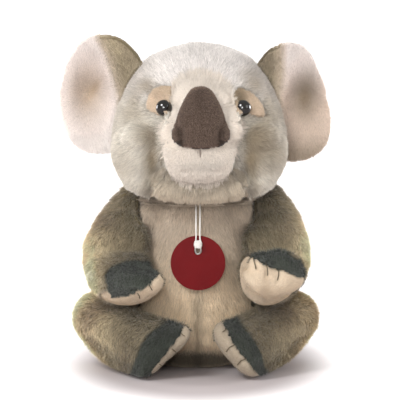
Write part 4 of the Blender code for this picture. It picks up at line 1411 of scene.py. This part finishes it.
class KOALA_OT_nose(bpy.types.Operator):
    """Makes the nose"""

    bl_idname = "koala.nose"
    bl_label = "Nose"

    def execute(self, context):
        form = form_of_nodes(("nose",), 0.0010).smooth(12)
        form.points[:, 0] += NOSE_MIDDLE[0] * MM
        wing = [(16.5, -68, 184), (14.0, -74, 178), (13.6, -75, 172), (15.5, -72, 167)]
        for turn in (list, mirrored):
            form.crease([(x + NOSE_MIDDLE[0], y, z) for x, y, z in turn(wing)], 1.7, 3.0)
        for sign in (1, -1):
            form.push((NOSE_MIDDLE[0] + sign * 18.5, -66, 173), (7, 12, 9), (sign * 0.8, -1.6, 0))
        form.push((2, -78, 190), (12, 14, 18), (0, -1.2, 0))
        form.points -= form.normals() * pile_settings().nose_length * 0.5
        panel = Panel("nose_pad", form, np.ones(len(form.faces), bool))
        p = panel.points
        comb = (p - mm(0, -70, 205)) + np.array((0, 0, -0.01))
        front = ramp(-panel.normals[:, 1], -0.3, 0.1)
        dark = np.zeros(len(p))
        for turn in (list, mirrored):
            moved = [(x + NOSE_MIDDLE[0], y, z) for x, y, z in turn(wing[1:])]
            dark = np.maximum(dark, near_line(p, moved, 2.4))
        # Painted shade in the nostrils' creases.
        root = tint("nose") * (1 - 0.6 * dark)[:, None]
        # The tips' paler brown gives the nose its light specks, partly the pile's own pale tips and partly
        # painted highlight.
        panel.dress(comb, root * 0.70, np.minimum(root * 2.3, 1), pile_settings().nose_length, front)
        make_cloth(panel, "head", "nose_pile", ("nose",))
        look = {"finish": "nose", "lean": 40, "lock": 0.002, "spread": 0.5, "stray": 0.25, "width": 0.7}
        make_pile(panel, "head", "nose_pile", share=2.4, **look)
        return {"FINISHED"}


# Body


def sit(points):
    """How far sideways the body and limbs sit in the photograph at each point, in metres."""
    low = 1 - ramp(points[:, 2], 0.02, 0.08)
    return -(1.15 + 0.75 * low) * ramp(points[:, 1], -0.075, -0.045) * MM


def body_form():
    form = form_of_nodes(
        ("body_back", "belly_left", "belly_right", "body_filling"),
        0.0019,
        [((sign * 30, 1, 112), (18, 30, 18), (0, 0, 0)) for sign in (1, -1)],
    ).smooth(14)
    low = 1 - ramp(form.points[:, 2], 0.045, 0.055) * ramp(form.points[:, 1], -0.032, -0.022)
    form.points[:, 0] = np.clip(form.points[:, 0], -0.0402 - 0.02 * low, 0.0402 + 0.02 * low)
    form.push((0, -46, 0), (46, 30, 24), (0, 8, 5))
    form.points[:, 2] = np.minimum(form.points[:, 2], 0.1226)
    form.points[:, 0] += sit(form.points)
    return form


class KOALA_OT_body(bpy.types.Operator):
    """Makes the back and the two belly panels"""

    bl_idname = "koala.body"
    bl_label = "Body"

    def execute(self, context):
        form = body_form()
        length = pile_settings().body_length
        x, y, z = form.points.T
        x = x - sit(form.points)
        flat = ramp(np.abs(x), 0.0385, 0.0400) * ramp(z, 0.05, 0.06) * ramp(y, -0.018, -0.010)
        floor = 1 - ramp(z, 0.001, 0.012)
        inset = length * 0.5 * (1 - flat) * (1 - floor)
        form.points = form.points - form.normals() * inset[:, None]
        form.crease(((0, -50, 118), (0, -50, 75)), 1.6, 1.6)
        form.crease(((0, -50, 72), (0, -50, 55), (0, -44, 28), (0, -36, 14)), 1.9, 4.0)
        centres = form.points[form.faces].mean(axis=1)
        zone = nearest_node(centres, ("body_back", "belly_left", "belly_right"))
        zone[(centres[:, 1] < -0.012) & (centres[:, 0] > 0)] = 1
        zone[(centres[:, 1] < -0.012) & (centres[:, 0] <= 0)] = 2
        for index, (name, slot, replaced) in enumerate(
            (
                ("back_panel", "olive_plush", ("body_back", "body_filling")),
                ("belly_panel_left", "belly_plush", ("belly_left",)),
                ("belly_panel_right", "belly_plush", ("belly_right",)),
            )
        ):
            panel = Panel(name, form, zone == index)
            p = panel.points
            comb = np.broadcast_to(np.array((0, 0, -1.0)), p.shape) + p * (6, 0, 0)
            if index == 0:
                root, tip = olive_colours(p)
                look = {"finish": "olive", "lean": 54, "spread": 0.2}
            else:
                look = {"lean": 66, "spread": 0.12}
                low = ramp(-p[:, 2], -0.11, -0.04)
                seam = np.exp(-((p[:, 0] / 0.004) ** 2)) * ramp(-p[:, 2], -0.09, -0.05)
                root = blend_colours(low, tint("belly"), tint("belly_low"))
                root = root * (1 - 0.35 * seam)[:, None] * mottle(p, 14, 0.06)
                tip = np.minimum(root * 1.10, 1)
            # Painted shade under the belly's front, close to the floor.
            under = ramp(-z[panel.used], -0.018, -0.010) * ramp(-p[:, 1], 0.015, 0.025)
            root, tip = root * (1 - 0.85 * under)[:, None], tip * (1 - 0.85 * under)[:, None]
            grown = (1 - 0.85 * flat[panel.used]) * (1 - floor[panel.used])
            panel.dress(comb, root, tip, length * (0.3 + 0.7 * grown), grown)
            make_cloth(panel, "body", slot, replaced)
            make_pile(panel, "body", slot, **look)
        return {"FINISHED"}


# Limbs


def olive_colours(points, brown=0.5):
    """The olive pile's root and tip colours, clouded with brown, with painted shade close to the belly and
    painted light outward.
    """
    cloud = soft_clouds(points, 26)
    root = blend_colours(np.clip(brown + 0.55 * cloud, 0, 1), tint("olive"), tint("brown"))
    fleck = mottle(points, 7, 0.08) * mottle(points, 2.8, 0.14)
    tip = blend_colours(np.clip(0.35 + 0.5 * cloud, 0.1, 1), tint("olive_tip"), root * 1.25)
    shade = fleck * painted_limb_shading(points)[:, None]
    # Paler tips everywhere, and paler still outward, where painted light falls on the limbs' sides.
    tip_and_side_light = 1.15 + 0.35 * ramp(np.abs(points[:, 0]), 0.055, 0.08)
    return root * shade, np.minimum(tip * shade * tip_and_side_light[:, None], 1)


def painted_limb_shading(points):
    """Painted light and shade on the limbs' pile: darker close to the belly and paler outward, darker high on
    the inner arms, most on the toy's left, and paler low on the outer arms.
    """
    x, y, z = points.T
    shade = 1 - (0.42 - 0.85 * ramp(np.abs(x), 0.043, 0.086)) * ramp(-y, -0.02, 0.01)
    upper = ramp(z, 0.090, 0.112) * ramp(-np.abs(x), -0.072, -0.054)
    elbow = ramp(z, 0.050, 0.062) * ramp(-z, -0.086, -0.070) * ramp(np.abs(x), 0.062, 0.080)
    return shade * (1 - np.where(x > 0, 0.30, 0.14) * upper + 0.22 * elbow)


def dark_colours(points):
    fleck = mottle(points, 6, 0.25) * (0.72 + 0.28 * ramp(points[:, 2], 0.05, 0.06))[:, None]
    return tint("dark") * 0.85 * fleck, tint("dark") * 1.6 * fleck


def suede_colours(points):
    return tint("suede") * mottle(points, 9, 0.07)


def share_of(form, zone, index):
    """For each point of a form, the share of the faces round it that lie in one zone."""
    corners = form.faces.ravel()
    chosen = np.bincount(corners, np.repeat(zone == index, 4), len(form.points))
    return chosen / np.bincount(corners, minlength=len(form.points))


def limb_panels(form, parts, zone, comb, length, buried, fringe=0.0):
    """Parts a limb's form into its panels and dresses each: olive, dark and napped cloth.

    The fringe is how far the olive pile pales beside the napped cloth.
    """
    dark, pale, beside = (form.blur(share_of(form, zone, i), times) for i, times in ((1, 3), (2, 3), (2, 14)))
    darkness = ramp(dark / np.maximum(1 - pale, 0.05), 0.25, 0.75)
    for index, (name, body, slot, replaced) in enumerate(parts):
        panel = Panel(name, form, zone == index)
        used = panel.used
        grown = 1 - buried[used]
        if index == 2:
            root = suede_colours(panel.points) * (0.62 if name.startswith("sole") else 1.0)
            panel.dress(comb[used], root, np.minimum(root * 1.15, 1), NAP_LENGTH, grown)
            look = NAP_PILE
        else:
            pairs = zip(olive_colours(panel.points), dark_colours(panel.points))
            root, tip = (blend_colours(darkness[used], *pair) for pair in pairs)
            outward = ramp(np.abs(panel.points[:, 0]), 0.045, 0.055)
            pale_share = fringe * outward * (1 - darkness[used]) * ramp(beside[used], 0.02, 0.3)
            root, tip = (blend_colours(pale_share, colour, tint("fringe")) for colour in (root, tip))
            own = length * (1 - 0.2 * darkness[used]) * (1 - 0.35 * ramp(pale[used], 0, 0.6))
            panel.dress(comb[used], root, tip, own * (0.35 + 0.65 * grown), grown)
            look = {"finish": "olive", "lean": 46, "spread": 0.17, "stray": 0.2, "lock": 0.004}
        make_cloth(panel, body, slot, replaced, "suede" if index == 2 else "backing")
        make_pile(panel, body, slot, **look)


THREAD_RADIUS = 0.0004


def seam_threads(name, form, body, slot, lines):
    """Sunk thread lines, each given as the pixels it crosses in the photograph."""
    tree = form.tree()
    bm = bmesh.new()
    for line in lines:
        places = []
        for start, end in zip(line, line[1:]):
            for share in np.linspace(0, 1, 6)[:-1]:
                places.append(unseen(np.array(start) * (1 - share) + np.array(end) * share))
        places.append(unseen(np.array(line[-1])))
        hits = [tree.ray_cast(Vector(place), VIEW_WAY) for place in places]
        spots = [hit[0] + hit[1] * 0.0007 for hit in hits if hit[0]]
        if len(spots) > 1:
            thread = tube("Thread", spots, THREAD_RADIUS, 2)
            mesh = evaluated_mesh(thread)
            bm.from_mesh(mesh)
            bpy.data.objects.remove(thread)
    mesh = bpy.data.meshes.new(name)
    bm.to_mesh(mesh)
    bm.free()
    mesh.shade_smooth()
    mesh.materials.append(material("seam"))
    put_piece(link(bpy.data.objects.new(name, mesh)), body, slot)


# Seams as the photograph shows them, in its pixels
HAND_DARK = {
    "right": (
        (104, 272), (110, 264), (122, 259), (138, 257), (155, 259), (168, 265), (160, 273),
        (150, 283), (140, 290), (128, 296), (112, 298), (106, 290),
    ),
    "left": (
        (242, 250), (250, 245), (266, 244), (284, 247), (300, 258), (308, 268), (307, 277),
        (296, 275), (284, 269), (270, 266), (258, 260), (248, 255),
    ),
}
HAND_PALE = {
    "right": (
        (168, 265), (177, 271), (168, 292), (152, 308), (130, 316), (108, 306), (100, 294),
        (106, 290), (112, 298), (128, 296), (140, 290), (150, 283), (160, 273),
    ),
    "left": (
        (242, 250), (248, 255), (258, 260), (270, 266), (284, 269), (296, 275), (307, 277),
        (318, 294), (304, 308), (279, 312), (252, 306), (236, 284), (234, 262),
    ),
}
FOOT_DARK = {
    "right": (
        (186, 317), (182, 329), (174, 343), (163, 358), (149, 377), (143, 384), (131, 378),
        (130, 362), (136, 350), (142, 338), (150, 328), (161, 320), (173, 314),
    ),
    "left": (
        (220, 316), (225, 324), (232, 339), (241, 352), (257, 370), (262, 378), (268, 370),
        (265, 356), (262, 347), (254, 335), (245, 324), (236, 314), (226, 312),
    ),
}
FOOT_PALE = {
    "right": (
        (186, 317), (195, 325), (196, 340), (186, 358), (174, 374), (158, 384), (143, 384),
        (149, 377), (163, 358), (174, 343), (182, 329),
    ),
    "left": (
        (220, 316), (212, 320), (208, 332), (210, 348), (220, 362), (236, 374), (252, 382),
        (262, 378), (257, 370), (241, 352), (232, 339), (225, 324),
    ),
}
FINGER_SEAMS = {
    "left": (
        ((252, 257), (254, 263), (255, 268)), ((264, 262), (266, 268), (266, 274)),
        ((277, 268), (277, 274), (276, 279)),
    ),
    "right": (((160, 273), (163, 277)), ((150, 283), (153, 288)), ((139, 291), (141, 296))),
}
TOE_SEAMS = {
    "left": (
        ((226, 327), (222, 330)), ((234, 342), (229, 345), (226, 349)),
        ((245, 356), (240, 358), (237, 362)),
    ),
    "right": (
        ((181, 331), (185, 334)), ((172, 346), (177, 350), (179, 354)),
        ((160, 361), (164, 365), (167, 369)),
    ),
}


def hand_zone(form, names, dark, pale, front):
    """Which panel each face belongs to.

    In front it is as the photograph shows it, and behind it is as the solids lie.
    """
    centres = form.points[form.faces].mean(axis=1)
    zone = nearest_node(centres, names)
    facing = form.normals()[form.faces[:, 0]] @ np.array(VIEW_WAY) < 0.25
    seen_front = facing & front(centres)
    zone[seen_front] = 0
    zone[seen_front & inside(seen(centres), dark)] = 1
    zone[seen_front & inside(seen(centres), pale)] = 2
    return zone


class KOALA_OT_arms(bpy.types.Operator):
    """Makes the arms with their hands"""

    bl_idname = "koala.arms"
    bl_label = "Arms"

    def execute(self, context):
        length = pile_settings().limb_length
        body = body_form()
        heights = (54, 62, 67, 76, 89, 96, 105, 112, 119, 126, 131)
        widths = {
            "right": (74, 79, 80.5, 82.5, 82.0, 78.8, 74.0, 69.0, 63.5, 58.5, 54),
            "left": (70, 76, 80, 82.8, 82.0, 80.0, 77.3, 74.0, 69.5, 64.0, 59),
        }
        for side, sign in SIDES:
            names = (f"arm_{side}", f"hand_back_{side}", f"palm_{side}", f"arm_filling_{side}")
            balls = [
                ((sign * 53, 5, 118), (14, 20, 15.5), (0, 0, 0)),
                ((sign * 54, -3, 110), (18.5, 21, 19), (0, 0, 0)),
                ((sign * 55, -9, 101), (22.5, 22.5, 21), (0, 0, 0)),
                ((sign * 56, -15, 90), (26, 23, 24), (0, 0, 0)),
            ]
            if side == "left":
                balls.append(((57, -72, 76), (21, 12, 18), (-20, 0, 0)))
                balls.append(((45, -77, 80), (10, 10, 13), (-20, 0, 0)))
            form = form_of_nodes(names, 0.0015, balls).smooth(6)
            if side == "left":
                form.push((28, -74, 62), (20, 26, 22), (9, 0, 3))
                form.push((34, -74, 54), (20, 26, 14), (3, 0, 6))
            within = (form.points[:, 1] > -0.024) & (np.abs(form.points[:, 0]) < 0.0412)
            form.points[within, 0] = sign * 0.0412
            form.push((sign * 40, -38, 106), (17, 20, 34), (-sign * 5, 0, 2))
            form.push((sign * 35, -44, 90), (18, 22, 26), (-sign * 6, -1, 0))
            form.smooth(14).fit_sides(heights, np.subtract(widths[side], 1.0), only=sign)
            form.points[:, 0] += sit(form.points)
            if side == "right":
                form.push((-30, -85, 74), (16, 22, 18), (3.5, 0, 0))
            form.keep_out(body, 0.0012)
            for line in FINGER_SEAMS[side]:
                form.crease_seen(line, 1.5, 1.4)
            zone = hand_zone(form, names[:3], HAND_DARK[side], HAND_PALE[side], lambda p: p[:, 1] < -0.042)
            nap = form.blur(share_of(form, zone, 2), 4)
            x, y, _ = form.points.T
            inner = ramp(-sign * (x - sit(form.points)), -0.0425, -0.0412) * ramp(y, -0.022, -0.018)
            inset = length * 0.5 * (1 - nap) * (1 - inner) + NAP_LENGTH * 0.6 * nap
            form.points = form.points - form.normals() * inset[:, None]
            form.smooth(2)
            forward, down = -ramp(-y, 0.0, 0.04) - 0.1, -1.2 + ramp(-y, 0.0, 0.05)
            comb = np.stack([sign * 0.25 + 0 * x, forward, down], axis=1)
            body_name = f"arm_{side}"
            parts = (
                (f"sleeve_{side}", body_name, "olive_plush", (names[0], names[3])),
                (f"hand_top_{side}", body_name, "dark_plush", (names[1],)),
                (f"palm_{side}_cloth", body_name, "palm_suede", (names[2],)),
            )
            limb_panels(form, parts, zone, comb, length, inner, fringe=0.8)
            seam_threads(f"finger_seams_{side}", form, body_name, "palm_suede", FINGER_SEAMS[side])
        return {"FINISHED"}


class KOALA_OT_legs(bpy.types.Operator):
    """Makes the legs with their feet"""

    bl_idname = "koala.legs"
    bl_label = "Legs"

    def execute(self, context):
        length = pile_settings().limb_length
        body = form_of_nodes(("body_back", "belly_left", "belly_right", "body_filling"), 0.003)
        body.points[:, 0] += sit(body.points)
        heights = (2, 6, 12, 20, 30, 40, 48, 54)
        widths = (66, 70, 76, 82, 88.5, 90, 87, 81)
        for side, sign in SIDES:
            names = (f"leg_{side}", f"foot_top_{side}", f"sole_{side}", f"leg_filling_{side}")
            form = form_of_nodes(names, 0.0016).smooth(14)
            form.fit_sides(heights, np.subtract(widths, 1.0), only=sign)
            form.points[:, 0] += sit(form.points)
            form.push((sign * 16, -80, 34), (21, 24, 26), (-5.5 if sign > 0 else 12, 0, 2))
            for line in TOE_SEAMS[side]:
                form.crease_seen(line, 1.5, 1.4)
            zone = hand_zone(form, names[:3], FOOT_DARK[side], FOOT_PALE[side], lambda p: p[:, 1] < -0.045)
            nap = form.blur(share_of(form, zone, 2), 4)
            x, y, z = form.points.T
            floor = 1 - ramp(z, 0.001, 0.008)
            inner = ramp(depth_inside(form.points, body), -0.0035, -0.0012)
            buried = np.maximum(floor, inner)
            inset = length * 0.5 * (1 - nap) * (1 - buried) + NAP_LENGTH * 0.6 * nap
            form.points = form.points - form.normals() * inset[:, None]
            form.smooth(2)
            form.points[:, 2] = np.maximum(form.points[:, 2], 0.0002)
            comb = np.stack([0.4 * sign + 0 * x, -1 + 0 * y, -0.45 + 0 * z], axis=1)
            body_name = f"leg_{side}"
            parts = (
                (f"thigh_{side}", body_name, "olive_plush", (names[0], names[3])),
                (f"instep_{side}", body_name, "dark_plush", (names[1],)),
                (f"sole_{side}_cloth", body_name, "palm_suede", (names[2],)),
            )
            limb_panels(form, parts, zone, comb, length, buried)
            seam_threads(f"toe_seams_{side}", form, body_name, "palm_suede", TOE_SEAMS[side])
        return {"FINISHED"}


# Ears

# Each ear's outline seen from the front, as X and Z in millimetres, its hollow, and the ridge
# where the pale front gives way to olive pile on the side towards the head
EAR_OUTLINES = {
    "right": (
        (-98.6, 188), (-96.6, 207), (-89.2, 227), (-81.2, 237), (-67.6, 240), (-59.6, 239),
        (-49, 232), (-40.4, 221), (-36.6, 205), (-38.6, 185), (-44.6, 166), (-52.6, 156),
        (-63.6, 154), (-81.2, 154.4), (-89.2, 159.5), (-96.6, 174),
    ),
    "left": (
        (94.8, 177), (91.5, 193), (86.1, 212), (80.1, 227), (74, 233.5), (60.7, 234), (50, 229.6),
        (43.3, 219), (38.4, 203), (39.4, 185), (44.4, 165), (53.4, 151), (64.7, 148), (76.7, 148.7),
        (87.4, 154), (94.1, 163.6),
    ),
}
EAR_DEPTH = 3.0  # Y of the middle of an ear's sheet, in millimetres
EAR_HALF_THICKNESS = 5.2
LINING_PILE = {"finish": "ear", "lean": 52, "spread": 0.08, "stray": 0.08, "share": 1.5, "width": 0.8}
EAR_HOLLOWS = {"right": (-79.0, 197.0), "left": (76.8, 193.5)}
EAR_RIDGES = {
    "right": ((175, 194, 198, 212, 225, 235), (-54.5, -56.9, -57.8, -61.7, -65.5, -71.0)),
    "left": ((175, 195, 198, 210, 218, 232), (57.0, 58.0, 59.0, 60.8, 60.4, 60.0)),
}


def past_ridge(points, side, sign):
    """How far outward of the ear's ridge points lie, in millimetres."""
    heights, ridge = EAR_RIDGES[side]
    x, z = points[:, 0] / MM, points[:, 2] / MM
    return sign * (x - np.interp(z, heights, ridge))


def ear_form(side, sign):
    """A puffy cupped ear with its hollow, its ridge towards the head and its fat lower lobe."""
    corners = mm(*np.ravel(EAR_OUTLINES[side])).reshape(-1, 2)
    middle = (corners.min(axis=0) + corners.max(axis=0)) / 2
    given = corners - middle
    turn = np.arctan2(given[:, 1], given[:, 0])
    order = np.argsort(turn)
    angles = np.linspace(-math.pi, math.pi, 97)[:-1]
    limit = np.interp(angles, turn[order], np.linalg.norm(given, axis=1)[order], period=2 * math.pi)
    limit = np.convolve(np.pad(limit, 2, "wrap"), np.full(5, 0.2), "valid")
    shares = np.sin(np.linspace(0, math.pi / 2, 22))[1:]
    s, angle = np.meshgrid(shares, angles, indexing="ij")
    flat = np.stack([np.cos(angle), np.sin(angle)], axis=2) * (s * limit)[:, :, None] + middle
    x, z = flat[:, :, 0] / MM, flat[:, :, 1] / MM
    way = np.arctan2(z - middle[1] / MM, sign * (x - middle[0] / MM))
    curl = np.maximum(0, np.cos(way - math.radians(125))) ** 2
    out = past_ridge(np.stack([x, 0 * x, z], axis=2).reshape(-1, 3) * MM, side, sign).reshape(x.shape)
    headward = ramp(-out, 0, 12)
    depth = EAR_DEPTH - 9 * s**2 * (1 - 0.8 * headward) - 6 * s**4 * curl + 0.25 * np.clip(-out, 0, 14)
    half = EAR_HALF_THICKNESS * np.sqrt(1 - s**3)
    hollow_x, hollow_z = EAR_HOLLOWS[side]
    u, w = sign * (x - hollow_x), z - hollow_z

    def bump(across, up, wide, high):
        return np.exp(-(((u - across) / wide) ** 2) - ((w - up) / high) ** 2)

    front = 4.5 * bump(0, 0, 9, 13) - 4.0 * bump(0, -29, 14, 14) - 2.0 * bump(12, 0, 6, 26)
    front -= 3.2 * np.exp(-(((out - 4) / 5.5) ** 2)) * ramp(z, 168, 185)
    front *= 1 - s**4
    bm = bmesh.new()
    loops = []
    for surface in (depth - half + front, depth + half):
        y = surface * MM
        rings = [
            [bm.verts.new((flat[i, j, 0], y[i, j], flat[i, j, 1])) for j in range(len(angles))]
            for i in range(len(shares))
        ]
        tip = bm.verts.new((middle[0], y[0].mean(), middle[1]))
        loops.append((tip, rings))
    for flip, (tip, rings) in zip((False, True), loops):
        for j in range(len(angles)):
            after = (j + 1) % len(angles)
            fan = [tip, rings[0][after], rings[0][j]]
            bm.faces.new(fan[::-1] if flip else fan)
            for low, high in zip(rings, rings[1:]):
                face = [low[j], low[after], high[after], high[j]]
                bm.faces.new(face[::-1] if flip else face)
    bmesh.ops.remove_doubles(bm, verts=bm.verts, dist=MM / 100)
    return even_form(bm, 0.0013).smooth(5)


def ear_colours(points, side, sign):
    """The lining's colour: pinkish, and darker in the hollow and on the toy's left low down, partly its own
    warmer tint and partly painted shade.
    """
    hollow_x, hollow_z = EAR_HOLLOWS[side]
    x, z = points[:, 0] / MM, points[:, 2] / MM
    colour = tint("ear") + 0 * points
    if side == "left":
        colour = blend_colours(ramp(-z, -220, -185), colour, tint("ear_low"))
        colour = blend_colours(0.55 * ramp(-z, -172, -152), colour, tint("cheek"))
    u, w = sign * (x - hollow_x), z - hollow_z
    if side == "left":
        shares = (
            (0.80, np.exp(-((u / 7.5) ** 2) - (w / 13) ** 2)),
            (0.35, np.exp(-(((u - 3) / 9) ** 2) - ((w - 12) / 12) ** 2)),
        )
    else:
        slant = u + 0.6 * (w - 2)
        shares = (
            (0.65, np.exp(-((u / 13) ** 2) - (w / 20) ** 2)),
            (0.7, np.exp(-(((slant + 3.5) / 3.5) ** 2) - ((w - 2) / 7) ** 2)),
        )
    for share, weight in shares:
        colour = blend_colours(share * weight, colour, tint(f"ear_hollow_{side}"))
    return colour


class KOALA_OT_ears(bpy.types.Operator):
    """Makes the ears' pale fronts and olive backs"""

    bl_idname = "koala.ears"
    bl_label = "Ears"

    def execute(self, context):
        head = head_form()
        for side, sign in SIDES:
            names = (f"ear_front_{side}", f"ear_back_{side}")
            hollow_x, hollow_z = EAR_HOLLOWS[side]
            form = ear_form(side, sign)
            inner = ramp(depth_inside(form.points, head), -0.003, 0.0)
            beyond = past_ridge(form.points, side, sign)
            pale = (beyond > 0) & (form.normals()[:, 1] < 0.7)
            length = np.where(pale, 0.0030, 0.0042)
            form.points = form.points - form.normals() * (length * 0.42 * (1 - inner))[:, None]
            zone = (pale[form.faces].mean(axis=1) < 0.5).astype(int)
            middle = mm(hollow_x, -8, hollow_z)
            for index, (node, name) in enumerate(zip(names, (f"ear_lining_{side}", f"ear_outer_{side}"))):
                panel = Panel(name, form, zone == index)
                p = panel.points
                comb = (p - middle) * (1, 0.3, 1)
                near = ramp(-beyond[panel.used], 0.5, 9)
                if index == 0:
                    root = ear_colours(p, side, sign)
                    root = blend_colours(0.75 * ramp(-beyond[panel.used], -5, 0), root, tint("ear_edge"))
                    tip = np.minimum(root * 1.05, 1)
                    look = LINING_PILE
                else:
                    comb = np.array((-sign * 0.3, 0.2, -1.0)) + 0 * p
                    root, tip = olive_colours(p, 0.25)
                    front = ramp(-panel.normals[:, 1], -0.95, -0.3) * (1 - 0.75 * near)
                    root = blend_colours(front, root * 1.1, tint("ear_edge"))
                    tip = np.minimum(blend_colours(front, tip * 1.1, tint("ear_edge") * 1.1), 1)
                    look = {"lean": 52, "spread": 0.14}
                grown = 1 - inner[panel.used]
                panel.dress(comb, root, tip, length[panel.used], grown)
                slot = "olive_plush" if index else "ear_plush"
                make_cloth(panel, f"ear_{side}", slot, (node,))
                make_pile(panel, f"ear_{side}", slot, **look)
        return {"FINISHED"}


# Inside


class KOALA_OT_inside(bpy.types.Operator):
    """Makes the cloth of the pellet pouch inside the toy"""

    bl_idname = "koala.inside"
    bl_label = "Inside"

    def execute(self, context):
        form = form_of_nodes(("pellet_pouch",), 0.0016).smooth(4)
        pouch = link(bpy.data.objects.new("pellet_pouch_cloth", face_mesh("Pouch", form.points, form.faces)))
        pouch.data.materials.append(material("pouch"))
        put_piece(pouch, "body", "pouch_cloth", "pellet_pouch")
        return {"FINISHED"}


class KOALA_PT_panel(bpy.types.Panel):
    """Lists the steps that build the toy"""

    bl_idname = "KOALA_PT_panel"
    bl_label = "Plush Koala"
    bl_space_type = "VIEW_3D"
    bl_region_type = "UI"
    bl_category = "Koala"

    def draw(self, context):
        layout = self.layout
        for group in (context.scene.koala_pile, context.scene.koala_colours):
            for key in group.__annotations__:
                layout.prop(group, key)
        for operator in OPERATORS:
            layout.operator(operator.bl_idname)


OPERATORS = (
    KOALA_OT_camera,
    KOALA_OT_tag,
    KOALA_OT_head,
    KOALA_OT_eyes,
    KOALA_OT_nose,
    KOALA_OT_ears,
    KOALA_OT_body,
    KOALA_OT_arms,
    KOALA_OT_legs,
    KOALA_OT_inside,
    KOALA_OT_stage,
)
CLASSES = (KoalaPile, KoalaColours, *OPERATORS, KOALA_PT_panel)


def register():
    for cls in CLASSES:
        bpy.utils.register_class(cls)
    bpy.types.Scene.koala_pile = bpy.props.PointerProperty(type=KoalaPile)
    bpy.types.Scene.koala_colours = bpy.props.PointerProperty(type=KoalaColours)


def unregister():
    del bpy.types.Scene.koala_colours
    del bpy.types.Scene.koala_pile
    for cls in reversed(CLASSES):
        bpy.utils.unregister_class(cls)


def main():
    register()
    for operator in OPERATORS:
        family, name = operator.bl_idname.split(".")
        getattr(getattr(bpy.ops, family), name)()
    hair = bpy.data.objects.get("Hair")
    if hair:
        bpy.data.objects.remove(hair)


if __name__ == "__main__":
    main()
